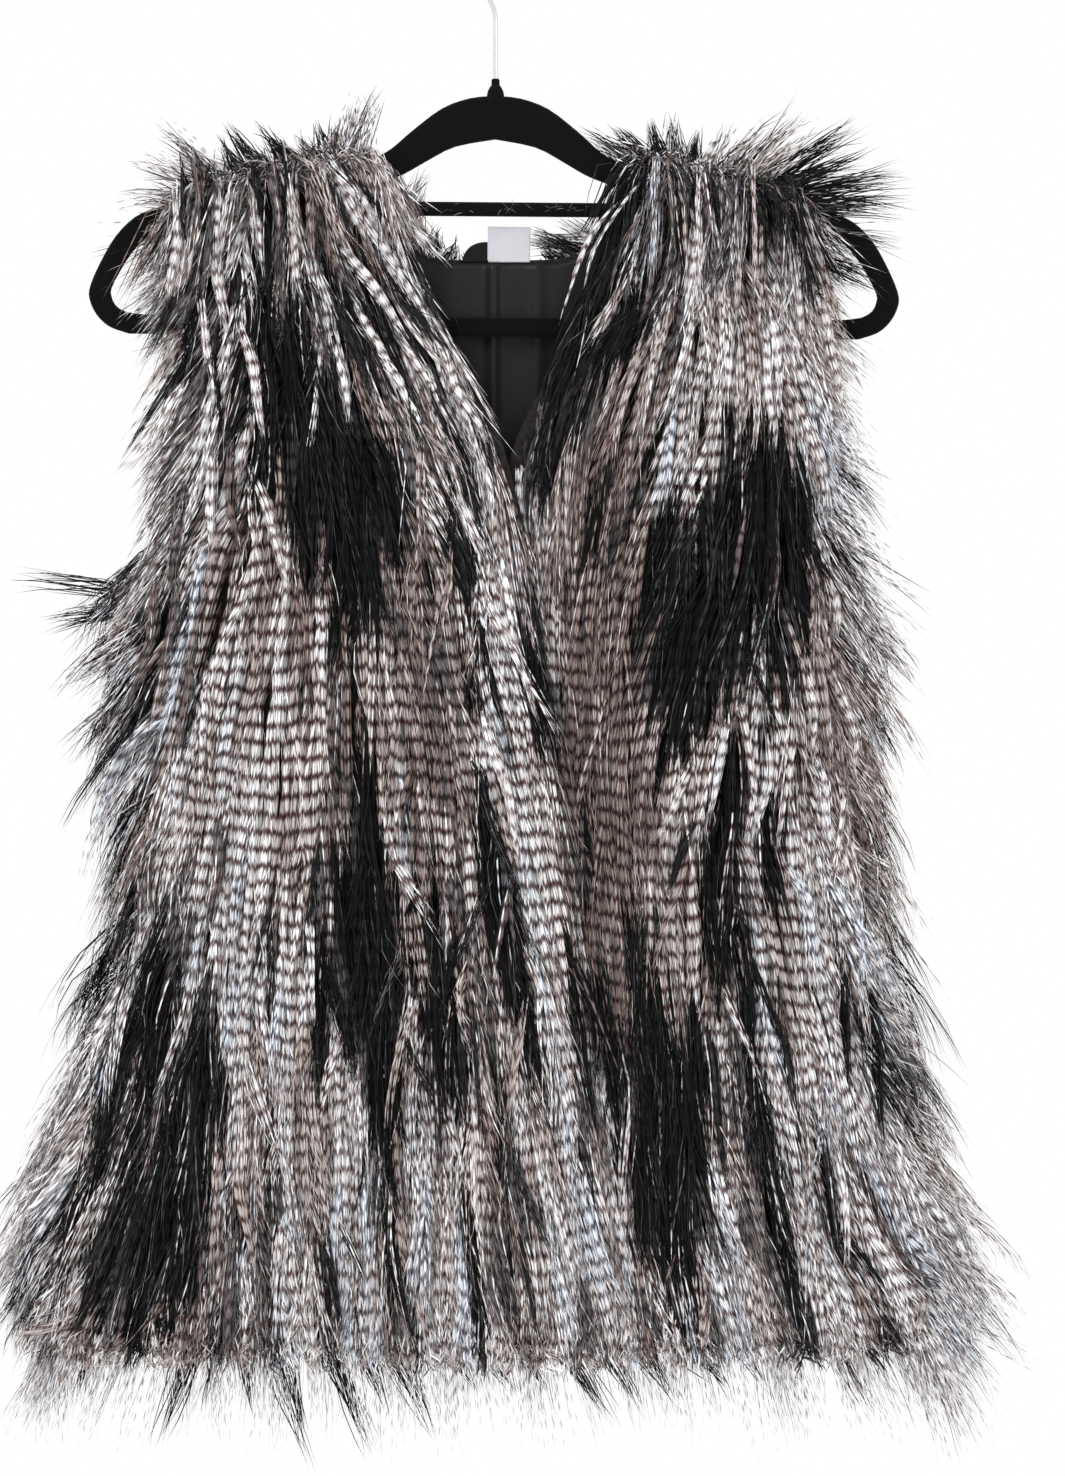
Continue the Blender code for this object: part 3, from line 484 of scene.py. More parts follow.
# The same for the fur of the back that shows over its neck edge
NECK_TUFTS = (
    (68, 188, 13, -74, 54, 6, "grey", 60),
    (62, 190, 14, -66, 44, 7, "cream", 60),
    (55, 191, 15, -60, 34, 8, "dark", 60),
    (46, 192, 15, -56, 26, 10, "dark", 50),
    (64, 184, 13, -56, 34, 8, "white", 50),
    (36, 192.5, 15, -50, 14, 12, "black", 40),
    (-28, 192.5, 15, 26, 13, 14, "dark", 60),
    (-35, 191.5, 15, 4, 20, 12, "dark", 80),
    (-41, 190, 14, -8, 22, 12, "grey", 60),
    (-48, 188, 14, 14, 26, 12, "grey", 60),
    (-55, 183, 13, 24, 36, 7, "cream", 60),
    (-60, 176, 12, 28, 42, 7, "pale", 60),
    (-63, 168, 11, 20, 34, 7, "cream", 50),
    (-22, 193, 15, 0, 5, 20, "black", 20),
)

# How the hair stands off the sides, by height: degrees from straight down, and the length
SIDE_COLUMNS = ("down", "left_lean", "left_length", "right_lean", "right_length")
SIDES = (
    (160, -62, 52, 60, 50),
    (200, -48, 52, 52, 48),
    (240, -40, 50, 46, 62),
    (290, -36, 52, 46, 66),
    (340, -40, 56, 44, 68),
    (380, -52, 58, 40, 66),
    (430, -38, 58, 36, 60),
    (500, -26, 54, 31, 50),
    (560, -24, 54, 32, 50),
    (620, -26, 54, 38, 58),
    (700, -26, 54, 44, 74),
    (760, -24, 56, 43, 78),
    (789, -20, 58, 36, 74),
)

# Along a hair: the place on it, how far along the cloth and how high over it that is, and the width there
HAIR_COLUMNS = ("at", "along", "height", "width")
HAIR = (
    (0.0, 0.0, 0.0, 0.75),
    (0.22, 0.14, 0.66, 1.0),
    (0.48, 0.40, 1.0, 0.95),
    (0.75, 0.70, 1.0, 0.70),
    (1.0, 0.97, 0.80, 0.12),
)

# The pile
FUR_HEIGHT = 12
FUR_HEIGHT_AT_NECK = 8
FUR_HEIGHT_PRESSED = 5.5
FUR_RIPPLE = 2.2
FULLER_AT_SEAM = 5
FULLER_AT_SIDE = 3.5
FUR_LENGTH = 62
HAIR_WIDE = 0.85
HAIR_REACH = (17, 8, 24)
HAIRS_IN_PIECE = 28000

# The lines that the locks stand on
ROW_STEP = 8.4
FIRST_ROWS = (0.0015, 0.004, 0.0075)
LINE_STEP = 8.4
LINE_NEAR = 5.4
LINE_FAR = 11.6
LINE_MEMORY = 0.94
ROW_POINTS = 240
NECK_INSET = 5.0

# The locks: some lie over the others, and they open towards the hem
LOCK_RADIUS = 4.0
OVER_SHARE = 0.13
OVER_GROWTH = 1.3
OPEN_FROM_DOWN = 480
OPEN_TO_DOWN = 640
LAP_HIDES_FROM_DOWN = 300
LONG_LOCK_OVER = 5
LONG_LOCK_OVER_SEAM = 9
LONG_LOCK_TONE_SHARE = 0.85
LONG_LOCK_SOFT_SHARE = 0.6
RISE_ALONG = np.array([1.0, 1.0, 0.75, 0.2, 0.0])

# How ruffled the fur is, and how far its bars are out of step, at the seams, the sides, the hem and the neck
RUFFLED = np.array([[0.45], [0.8], [0.35], [0.1]])
OUT_OF_STEP = np.array([[0.6], [0.75], [0.5], [0.8]])

# The hairs of a lock: some lie deep in it and are coloured dark as painted shade, a few are fine and stray,
# and pale hairs at a lock's sides are coloured darker as painted shade between the locks
DEEP_SHARE = 0.16
FINE_SHARE = 0.06
LOCK_TONE_SHARE = 0.84
PAINTED_SHADE_AT_LOCK_SIDES = 1.8
PALETTE_HALF = 0.004

# The loose hair at the edges, and on the hanger's upper bar
ARMHOLE_DOWN = 158
UPPER_BAR_DOWN = 163.3
UPPER_BAR_FRONT = 3.6
EDGE_SOFT_SHARE = 0.5
SIDE_WISPS = 330
SIDE_WISP_HAIRS = 12
SIDE_FRONT_SHARE = 0.55
SIDE_TONE_SHARE = 0.7
PALE_HIGH = 0.62
PALE_MIDDLE = 0.25
PALE_LOW = {"left": 0.1, "right": 0.7}
SHOULDER_HAIRS = 800
CROWN_WISPS = 75
CROWN_WISP_HAIRS = 14
UPPER_BAR_HAIRS = 50
NEAR_HEM_DOWN = 780.0
HEM_WISPS = 170
HEM_WISP_HAIRS = 9
EDGE_SEED = 17

# Each panel's fur: the hairs in a lock and the seed of its chances
FUR_PANELS = (("lap", 18, 7), ("under", 18, 3), ("back", 9, 13))

# Each panel's backing cloth: the piece, the node that it stands for, and its flat size in metres
BACKINGS = (
    ("back", "back_backing", "back_panel", (0.50, 0.66)),
    ("lap", "lap_backing", "front_panel_lap", (0.31, 0.66)),
    ("under", "under_backing", "front_panel_under", (0.27, 0.66)),
)
SHELL_ROWS = 60
SHELL_COLUMNS = 64

# The cloths: two near colours as screen colours, roughness, the noise's scale, the bump's strength and sheen
CLOTHS = {
    "black_flock": ((0.010, 0.010, 0.013), (0.022, 0.022, 0.027), 0.95, 1400, 0.6, 0.05),
    "underfur": ((0.10, 0.09, 0.09), (0.17, 0.15, 0.15), 0.9, 300, 0.8, 0.1),
    "inner_satin": ((0.10, 0.10, 0.105), (0.13, 0.13, 0.135), 0.4, 900, 0.05, 0.2),
    "satin": ((0.100, 0.100, 0.106), (0.120, 0.120, 0.127), 0.42, 900, 0.05, 0.12),
    "white_tape": ((0.775, 0.765, 0.79), (0.825, 0.815, 0.838), 0.6, 1500, 0.15, 0.0),
    "black_ribbon": ((0.02, 0.02, 0.024), (0.04, 0.04, 0.045), 0.6, 1800, 0.3, 0.0),
}
WIRE_COLOUR = (0.72, 0.72, 0.74, 1)
FLOOR_COLOUR = (0.85, 0.85, 0.85, 1)

# Rows and columns of points in the thin pieces, and the hook's steps
LINING_GRID = (70, 90)
LABEL_GRID = (22, 25)
LOOP_GRID = (10, 25)
HOOK_BEND_STEPS = 16
HOOK_STEPS = 64

# The stage
FLOOR_SIZE = 5
FLOOR_Z = -1.62
LIGHTS = (
    ("key", (-1.1, -1.7, 1.0), 24, 1.0),
    ("fill", (1.6, -1.6, -0.3), 6, 1.4),
)
LIGHT_AIM = (0.0, 0.0, -0.45)


def mix(low, high, share):
    return low + (high - low) * share


def ramp(value, start, end):
    """Rises smoothly from 0 at start to 1 at end."""
    share = np.clip((value - start) / (end - start), 0, 1)
    return share * share * (3 - 2 * share)


def column(table, columns, name):
    return np.array([row[columns.index(name)] for row in table], float)


def table_curve(table, columns, name):
    """A smooth curve through one column against the first one, which never swings past its rows."""
    at = column(table, columns, columns[0])
    value = column(table, columns, name)
    steep = np.diff(value) / np.diff(at)
    together = steep[:-1] * steep[1:]
    total = np.where(together > 0, steep[:-1] + steep[1:], 1)
    slope = np.concatenate(([steep[0]], np.where(together > 0, 2 * together / total, 0), [steep[-1]]))

    def curve(where):
        where = np.clip(where, at[0], at[-1])
        i = np.clip(np.searchsorted(at, where) - 1, 0, len(at) - 2)
        wide = at[i + 1] - at[i]
        s = (where - at[i]) / wide
        start = value[i] * (1 + 2 * s) * (1 - s) ** 2 + slope[i] * wide * s * (1 - s) ** 2
        end = value[i + 1] * s * s * (3 - 2 * s) - slope[i + 1] * wide * s * s * (1 - s)
        return start + end

    return curve


EDGE = {name: table_curve(EDGES, EDGE_COLUMNS, name) for name in EDGE_COLUMNS[1:]}
DEPTH = {name: table_curve(DEPTHS, DEPTH_COLUMNS, name) for name in DEPTH_COLUMNS[1:]}
SIDE = {name: table_curve(SIDES, SIDE_COLUMNS, name) for name in SIDE_COLUMNS[1:]}
HAIR_AT, HAIR_ALONG, HAIR_HEIGHT, HAIR_WIDTH = (column(HAIR, HAIR_COLUMNS, name) for name in HAIR_COLUMNS)


def seam_down(x):
    """Height of the shoulder seam, which lies just over the hanger's arm."""
    start_x, start_down = ARM_TOP_START
    end_x, end_down = ARM_TOP_END
    slope = (end_down - start_down) / (end_x - start_x)
    beside = np.clip(x, -end_x, end_x)
    reach = np.maximum(np.abs(beside), start_x)
    return start_down + slope * (reach - start_x) + math.tan(HANGER_TILT) * beside - SEAM_OVER_ARM


def side_of(x, down):
    """The side edge's distance from the middle, on the side that x is on."""
    return np.where(np.asarray(x) >= 0, EDGE["right_side"](down), -EDGE["left_side"](down))


def drop_from_seam(x, down):
    return down - seam_down(x)


def from_edge(which, x, down):
    """A front panel's distances from its free edge."""
    return np.abs(x - EDGE[which + "_edge"](down))


def cloth_depth(which, x, down):
    """How far a panel's cloth stands from the middle plane."""
    face = "back" if which == "back" else "front"
    drop = drop_from_seam(x, down)
    across = np.minimum(np.abs(x) / side_of(x, down), 1)
    round_off = np.sqrt(1 - across * across)
    edge = DEPTH[face + "_edge"](drop)
    depth = mix(edge, DEPTH[face](drop), round_off)
    grown = np.maximum(drop - FLUTE_TOP_DROP, 0) / (PANEL_DROP - FLUTE_TOP_DROP)
    flute = np.sin(2 * math.pi * x / FLUTE_WIDTH + FLUTE_PHASE[face])
    depth = depth + FLUTE_DEPTH * grown * round_off * flute
    if which == "lap":
        covered = EDGE["under_edge"](down)
        depth = depth + LAP_LIFT * ramp(x, covered - LAP_LIFT_FROM, covered - LAP_LIFT_TO)
    return depth


def cloth_point(which, x, down):
    """Points of a panel's cloth, as rows of x, y and z."""
    sign = 1 if which == "back" else -1
    return np.stack([x, sign * cloth_depth(which, x, down), -down], axis=-1)


def cloth_normal(which, x, down):
    """The cloth's outward direction, from short steps across it and along it."""
    edge = side_of(x, down) - 0.4
    low = np.clip(x - STEP_ACROSS, -edge, edge)
    high = np.clip(x + STEP_ACROSS, -edge, edge)
    gap = np.maximum(high - low, 0.05)
    across = (cloth_depth(which, high, down) - cloth_depth(which, low, down)) / gap
    lower, upper = down + STEP_ALONG, down - STEP_ALONG
    along = (cloth_depth(which, x, lower) - cloth_depth(which, x, upper)) / (2 * STEP_ALONG)
    sign = 1.0 if which == "back" else -1.0
    return unit(np.stack([-across, np.full_like(across, sign), along], axis=-1))


def unit(vectors):
    length = np.linalg.norm(vectors, axis=-1, keepdims=True)
    return vectors / np.maximum(length, 1e-9)


def sideways_from(x):
    """For each x, the direction level and away from the middle."""
    return np.stack([np.sign(x), np.zeros_like(x), np.zeros_like(x)], axis=-1)


def neck_down(x):
    """Height of the back's top edge: the shoulder seams, and the hollow between them."""
    middle = (NECK_LEFT + NECK_RIGHT) / 2
    beside = np.abs(x - middle) / ((NECK_RIGHT - NECK_LEFT) / 2)
    top = seam_down(x)
    return np.where(beside >= 1, top, mix(BACK_NECK_DOWN, top, np.minimum(beside, 1) ** BACK_NECK_POWER))


def top_down(which, x):
    """Height of a panel's top edge."""
    return neck_down(x) if which == "back" else seam_down(x)


def panel_row(which, share, turns):
    """The x and down of a row's points: share is 0 on the top edge and 1 on the hem, turns 0 to 1 across."""
    down = np.full_like(turns, float(SEAM_MIDDLE_DOWN))
    for _ in range(ROW_TRIES):
        if which == "back":
            angle = mix(-QUARTER, QUARTER, turns)
        else:
            edge_x = EDGE[which + "_edge"](down)
            inner = np.arcsin(np.clip(edge_x / side_of(edge_x, down), -1, 1))
            angle = mix(inner, -QUARTER if which == "lap" else QUARTER, turns)
        x = np.sin(angle) * side_of(angle, down)
        down = mix(top_down(which, x), HEM_DOWN, share)
    return x, down


def linear(colour):
    """A screen colour as linear red, green and blue, with full cover."""
    return (*(c / 12.92 if c <= 0.04045 else ((c + 0.055) / 1.055) ** 2.4 for c in colour), 1)


def new_material(name):
    """A new material, its nodes and links, and its shader."""
    made = bpy.data.materials.new(name)
    made.use_nodes = True
    return made, made.node_tree.nodes, made.node_tree.links, made.node_tree.nodes["Principled BSDF"]


def set_inputs(node, **values):
    """Sets a shader node's inputs by name, where a low line stands for a space."""
    for name, value in values.items():
        node.inputs[name.replace("_", " ")].default_value = value
    return node


def add_object(name, data):
    made = bpy.data.objects.new(name, data)
    bpy.context.scene.collection.objects.link(made)
    return made


def tone_ramp(nodes, which):
    """A colour ramp through one column of the tones, in their order, then through the same with soft bars."""
    made = nodes.new("ShaderNodeValToRGB")
    made.color_ramp.interpolation = "LINEAR"
    stops = made.color_ramp.elements
    while len(stops) < 2 * len(TONES):
        stops.new(0.5)
    for i in range(2 * len(TONES)):
        name, clear, bar = TONES[i % len(TONES)]
        colour = bar if which == "bar" else clear
        if which == "bar" and i >= len(TONES):
            colour = [mix(dark, light, SOFT_BAR) for dark, light in zip(bar, clear)]
        stops[i].position = (i + 0.5) / (2 * len(TONES))
        stops[i].color = linear(colour)
    return made


def fur_material():
    """Hair whose tone is the map's first coordinate and whose bars repeat along its second."""
    made, nodes, links, shader = new_material("fur")
    place = nodes.new("ShaderNodeUVMap")
    place.uv_map = "OFBake"
    parts = nodes.new("ShaderNodeSeparateXYZ")
    links.new(place.outputs["UV"], parts.inputs[0])
    repeat = nodes.new("ShaderNodeMath")
    repeat.operation = "MULTIPLY"
    repeat.inputs[1].default_value = BARS_IN_MAP
    links.new(parts.outputs["Y"], repeat.inputs[0])
    fold = nodes.new("ShaderNodeMath")
    fold.operation = "PINGPONG"
    fold.inputs[1].default_value = 0.5
    links.new(repeat.outputs[0], fold.inputs[0])
    bar = nodes.new("ShaderNodeMapRange")
    bar.interpolation_type = "SMOOTHSTEP"
    set_inputs(bar, From_Min=BAR_FULL_TO, From_Max=BAR_CLEAR_FROM)
    links.new(fold.outputs[0], bar.inputs["Value"])
    clear = tone_ramp(nodes, "clear")
    dark = tone_ramp(nodes, "bar")
    for tones in (clear, dark):
        links.new(parts.outputs["X"], tones.inputs[0])
    blend = nodes.new("ShaderNodeMix")
    blend.data_type = "RGBA"
    links.new(bar.outputs["Result"], blend.inputs["Factor"])
    links.new(dark.outputs["Color"], blend.inputs[6])
    links.new(clear.outputs["Color"], blend.inputs[7])
    links.new(blend.outputs[2], shader.inputs["Base Color"])
    set_inputs(shader, Roughness=0.6, Specular_IOR_Level=0.12)
    return made


def cloth_material(name):
    """Cloth or flock: two near colours mixed by fine noise, with a small bump."""
    colour, other, roughness, scale, bump, sheen = CLOTHS[name]
    made, nodes, links, shader = new_material(name)
    place = nodes.new("ShaderNodeTexCoord")
    noise = set_inputs(nodes.new("ShaderNodeTexNoise"), Scale=scale, Detail=4)
    links.new(place.outputs["Object"], noise.inputs["Vector"])
    colours = nodes.new("ShaderNodeValToRGB")
    for stop, at, tone in zip(colours.color_ramp.elements, (0.35, 0.65), (colour, other)):
        stop.color = linear(tone)
        stop.position = at
    links.new(noise.outputs["Fac"], colours.inputs[0])
    links.new(colours.outputs["Color"], shader.inputs["Base Color"])
    relief = set_inputs(nodes.new("ShaderNodeBump"), Strength=bump, Distance=0.0003)
    links.new(noise.outputs["Fac"], relief.inputs["Height"])
    links.new(relief.outputs["Normal"], shader.inputs["Normal"])
    set_inputs(shader, Roughness=roughness, Sheen_Weight=sheen, Sheen_Roughness=0.4, Specular_IOR_Level=0.18)
    return made


def wire_material():
    made, nodes, links, shader = new_material("bright_wire")
    noise = set_inputs(nodes.new("ShaderNodeTexNoise"), Scale=900)
    spread = set_inputs(nodes.new("ShaderNodeMapRange"), To_Min=0.12, To_Max=0.3)
    links.new(noise.outputs["Fac"], spread.inputs["Value"])
    links.new(spread.outputs["Result"], shader.inputs["Roughness"])
    set_inputs(shader, Base_Color=WIRE_COLOUR, Metallic=1)
    return made


def grid_mesh(name, sides, materials):
    """A closed thin wall between two grids of points; each side has its own material."""
    rows, columns = sides[0].shape[:2]
    layer = rows * columns
    number = np.arange(layer).reshape(rows, columns)
    cells = np.stack([number[:-1, :-1], number[1:, :-1], number[1:, 1:], number[:-1, 1:]], axis=-1)
    cells = np.stack([cells, layer + cells[..., ::-1]], axis=2).reshape(-1, 4)
    border = np.concatenate([number[0], number[1:, -1], number[-1, -2::-1], number[-2:0:-1, 0]])
    beyond = np.roll(border, -1)
    rim = np.stack([border, beyond, layer + beyond, layer + border], axis=-1)
    wall = np.concatenate([np.arange(len(cells)) % 2, np.zeros(len(rim), int)])
    points = np.concatenate([side.reshape(-1, 3) for side in sides]) * MM
    mesh = bpy.data.meshes.new(name)
    mesh.from_pydata(points.tolist(), [], [*cells.tolist(), *rim.tolist()])
    for made in materials:
        mesh.materials.append(made)
    mesh.polygons.foreach_set("material_index", np.minimum(wall, len(materials) - 1))
    mesh.polygons.foreach_set("use_smooth", np.ones(len(wall), bool))
    mesh.update()
    made = add_object(name, mesh)
    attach(made, "root")
    return made


def grid_area(points):
    """The area of one grid of points, in square metres."""
    across = points[:-1, 1:] - points[:-1, :-1]
    along = points[1:, :-1] - points[:-1, :-1]
    return float(np.linalg.norm(np.cross(across, along), axis=-1).sum()) * MM * MM


def panel_shell(which):
    """The backing cloth of a panel: its inner side on the cloth's form, its outer side a wall's width out."""
    turns = np.linspace(0, 1, SHELL_COLUMNS)
    shares = np.concatenate([np.linspace(0, 0.02, 5)[:-1], np.linspace(0.02, 0.995, SHELL_ROWS - 4)])
    inner = []
    outer = []
    for share in shares:
        x, down = panel_row(which, share, turns)
        place = cloth_point(which, x, down)
        normal = cloth_normal(which, x, down)
        if share == 0:
            normal = np.tile(UP, (SHELL_COLUMNS, 1))
        at_side = np.abs(x) > side_of(x, down) - 1
        normal[at_side & (drop_from_seam(x, down) > UNDERARM_DROP)] = 0
        inner.append(place)
        outer.append(place + normal * BACKING)
    inner, outer = np.array(inner), np.array(outer)
    at_edge = np.linalg.norm(outer - inner, axis=-1) < 0.01
    outer[at_edge] += sideways_from(inner[at_edge][:, 0]) * BACKING / 2
    return inner, outer


def lean_at(which, x, down):
    """Where the hair points, in radians to the right of straight down."""
    if which == "back":
        outward = mix(*BACK_SIDE_LEANS, ramp(down, 300, 780)) * (x / side_of(x, down)) ** 3
        return np.radians(outward + 6 * np.sin(down / 90 + x / 70))
    places = np.array(LEANS)
    gap = (x[:, None] - places[:, 0]) ** 2 + ((down[:, None] - places[:, 1]) * 0.8) ** 2
    weight = np.exp(-gap / (2 * LEAN_REACH ** 2)) + 1e-9
    return np.radians((weight * places[:, 2]).sum(axis=1) / weight.sum(axis=1))


def on_back(x, down, lean):
    """Where a region of the fronts lies on the back: mirrored, and upside down below the shoulders."""
    turned = down > BACK_TURNED_FROM_DOWN
    return BACK_SHIFT - x * BACK_NARROWING, BACK_TURN - down if turned else down + BACK_DROP, -lean


def tone_shares(which, x, down, ragged=0.0):
    """For each place, the shares of the tones there; ragged makes the borders of the patches uneven."""
    total = np.tile(np.array(MIXES["base"]), (len(x), 1))
    for at_x, at_down, half_width, half_height, lean, name, strength in PATCHES:
        if which == "back":
            at_x, at_down, lean = on_back(at_x, at_down, lean)
        turn = math.radians(lean)
        across = (x - at_x) * math.cos(turn) - (down - at_down) * math.sin(turn)
        along = (x - at_x) * math.sin(turn) + (down - at_down) * math.cos(turn)
        gap = np.sqrt((across / half_width) ** 2 + (along / half_height) ** 2) + ragged
        weight = strength * (1 - ramp(gap, *REGION_BORDER))
        total += weight[:, None] * np.array(MIXES[name])
    return total / total.sum(axis=1, keepdims=True)


def tone_at(shares, even):
    """The number of the tone that an even number from 0 to 1 falls on, for each row of shares."""
    steps = np.cumsum(shares, axis=1)
    return (even[:, None] > steps).sum(axis=1).clip(0, len(TONES) - 1)


def pick_tone(shares, chance):
    """A tone number for each row of shares."""
    return tone_at(shares, chance.random(len(shares)))


def near_tone(tones, spread, chance):
    """Tones moved a little, within the range of the tones."""
    return np.clip(tones + chance.normal(0, spread, len(tones)), 0, len(TONES) - 1)


def soft_bars(tones, which):
    """The same tones, with soft bars where which is true."""
    return tones + np.where(which, len(TONES), 0)


def bar_phase(x, down):
    """The bars lie level, with slow waves in them."""
    return down + 3.5 * np.sin(x / 33 + 1) * np.sin(down / 67) + 2.2 * np.sin(x / 15 - down / 83)


class Hairs:
    """Collects hairs: centre lines, their ribbons' width directions and widths, tones and bar phases."""

    def __init__(self):
        self.batches = []

    def add(self, lines, across, widths, tones, phases):
        """Takes hairs, but for the few strays that pass the part's box by more than the reach."""
        low, high = (np.array(corner) / MM for corner in cad_box)
        kept = ((lines > low - HAIR_REACH) & (lines < high + HAIR_REACH)).all(axis=(1, 2))
        self.batches.append([each[kept] for each in (lines, across, widths, tones, phases)])

    def joined(self):
        return [np.concatenate(kind) for kind in zip(*self.batches)]

    def make(self, name, fur):
        """One mesh of ribbons, each of three quads and a triangle."""
        lines, across, widths, tones, phases = self.joined()
        count, stations = lines.shape[:2]
        body = stations - 1
        each = 2 * body + 1
        half = unit(across) * (widths / 2)[:, :, None]
        cycles = phases / BAR_PITCH
        cycles = cycles - np.floor(cycles.min(axis=1, keepdims=True))
        cycles = np.clip(cycles / BARS_IN_MAP, 0, 1)
        tone_u = (tones + 0.5) / (2 * len(TONES))
        points = np.empty((count, each, 3))
        palette = np.empty((count, each, 2))
        for first, sign in ((0, -1), (1, 1)):
            points[:, first:2 * body:2] = (lines + sign * half)[:, :body]
            palette[:, first:2 * body:2, 0] = tone_u[:, None] + sign * PALETTE_HALF
            palette[:, first:2 * body:2, 1] = cycles[:, :body]
        points[:, -1] = lines[:, -1]
        palette[:, -1, 0] = tone_u
        palette[:, -1, 1] = cycles[:, -1]

        corners = []
        for i in range(body - 1):
            corners += [2 * i, 2 * i + 1, 2 * i + 3, 2 * i + 2]
        corners = np.array(corners + [2 * body - 2, 2 * body - 1, 2 * body])
        rows = np.arange(count)[:, None]
        loops = (rows * each + corners[None, :]).ravel()
        starts = (rows * len(corners) + 4 * np.arange(body)[None, :]).ravel()
        mesh = bpy.data.meshes.new(name)
        mesh.vertices.add(count * each)
        mesh.vertices.foreach_set("co", (points * MM).ravel())
        mesh.loops.add(len(loops))
        mesh.loops.foreach_set("vertex_index", loops)
        mesh.polygons.add(count * body)
        mesh.polygons.foreach_set("loop_start", starts)
        mesh.update(calc_edges=True)
        mesh.polygons.foreach_set("use_smooth", np.ones(count * body, bool))
        bake_map = mesh.uv_layers.new(name="OFBake")
        bake_map.uv.foreach_set("vector", palette[:, corners].ravel())
        mesh.materials.append(fur)
        made = add_object(name, mesh)
        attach(made, "root")
        return made


def row_across(which, share):
    """One row across a panel: the distance along the cloth from the middle, and x and down there."""
    x, down = panel_row(which, share, np.linspace(0, 1, ROW_POINTS))
    steps = np.linalg.norm(np.diff(cloth_point(which, x, down), axis=0), axis=1)
    gone = np.concatenate(([0], np.cumsum(steps)))
    if which == "lap":
        return (x[0] - gone)[::-1], x[::-1], down[::-1]
    if which == "under":
        return x[0] + gone, x, down
    return gone - np.interp(0, x, gone), x, down


def fit_lines(at, nature, low, high, chance):
    """Drops lines that crowd each other or leave the cloth, and starts new ones in wide gaps."""
    order = np.argsort(at)
    fitted = []
    natures = []
    last = low - LINE_STEP * 0.6
    for place, own in zip([*at[order], high + LINE_STEP * 0.6], [*nature[order], None]):
        if place < low + 0.3:
            continue
        while place - last > LINE_FAR:
            last += min(LINE_STEP, (place - last) / 2)
            fitted.append(last)
            natures.append(chance.normal(0, 1, nature.shape[1]))
        if own is None or place > high - 0.3 or place - last < LINE_NEAR:
            continue
        fitted.append(place)
        natures.append(own)
        last = place
    return np.array(fitted), np.array(natures)


def flow_lines(which, chance):
    """Root places on lines that run with the nap: x, down, and three numbers of the line's own nature."""
    fall = HEM_DOWN - SEAM_MIDDLE_DOWN
    rows = round(fall / ROW_STEP)
    at = np.array([0.0])
    nature = chance.normal(0, 1, (1, 3))
    made = []
    shares = [*FIRST_ROWS, *(min(row / rows, 0.9995) for row in range(1, rows + 1))]
    for here, share in enumerate(shares):
        reach, x, down = row_across(which, share)
        at, nature = fit_lines(at, nature, reach[0], reach[-1], chance)
        line_x = np.interp(at, reach, x)
        line_down = np.interp(at, reach, down)
        made.append(np.column_stack([line_x, line_down, nature]))
        step = (shares[min(here + 1, rows)] - share) * fall
        at = at + np.tan(lean_at(which, line_x, line_down)) * step
        nature = LINE_MEMORY * nature + math.sqrt(1 - LINE_MEMORY ** 2) * chance.normal(0, 1, nature.shape)
    made = np.concatenate(made)
    x, down, nature = made[:, 0], made[:, 1], made[:, 2:]
    top = top_down(which, x)
    x = x + chance.normal(0, 0.35, len(x))
    if which != "back":
        free = from_edge(which, x, down)
        inward = NECK_INSET * (1 - ramp(free, 0, 14)) * (1 - ramp(down, 300, 360))
        x = x + np.where(which == "lap", -inward, inward)
    down = np.clip(down + chance.uniform(-0.35, 0.35, len(x)) * ROW_STEP, top + 0.6, HEM_DOWN - 0.5)
    return x, down, nature


def even_chance(normal):
    """A normal number as an even one from 0 to 1."""
    return 1 / (1 + np.exp(-1.702 * normal))


def disorder(which, x, down):
    """How ruffled the hair is, and how far its bars are out of step, both from 0 to 1."""
    near_seam = 1 - ramp(drop_from_seam(x, down), 30, 150)
    near_side = 1 - ramp(side_of(x, down) - np.abs(x), 2, 44)
    near_hem = ramp(down, 500, 640)
    near_neck = np.zeros_like(x)
    if which != "back":
        free = from_edge(which, x, down)
        near_neck = (1 - ramp(free, 25, 80)) * (1 - ramp(down, 290, 400))
    near = np.stack([near_seam, near_side, near_hem, near_neck])
    return ((near * most).max(axis=0) for most in (RUFFLED, OUT_OF_STEP))


def fur_height(which, x, down):
    """How high the fur lies over the cloth."""
    drop = drop_from_seam(x, down)
    height = FUR_HEIGHT + FUR_RIPPLE * np.sin(x / 23 + down / 41) * np.sin(down / 29 - x / 57)
    if which != "back":
        height += FULLER_AT_SEAM * (1 - ramp(drop, 4, 40))
    beside = side_of(x, down) - np.abs(x)
    height += FULLER_AT_SIDE * (1 - ramp(beside, 0, 40)) * ramp(drop, UNDERARM_DROP - 20, UNDERARM_DROP + 60)
    if which == "back":
        free = np.hypot(np.maximum(np.maximum(NECK_LEFT - x, x - NECK_RIGHT), 0), down - neck_down(x))
    else:
        free = from_edge(which, x, down)
    height = mix(FUR_HEIGHT_AT_NECK, height, ramp(free, 0, 30))
    if which == "under":
        over = EDGE["lap_edge"](down)
        height = mix(FUR_HEIGHT_PRESSED, height, ramp(x, over + 10, over + 55))
    return height


def over_cloth(which, x, down):
    """Points of the cloth under hair that may pass its edges, the cloth's normals, and x kept on it."""
    limit = side_of(x, np.minimum(down, HEM_DOWN))
    inside = np.clip(x, -limit, limit)
    low = np.minimum(down, HEM_DOWN + 10)
    points = cloth_point(which, inside, low)
    points[..., 0] = x
    points[..., 2] = -down
    return points, cloth_normal(which, inside, low), inside


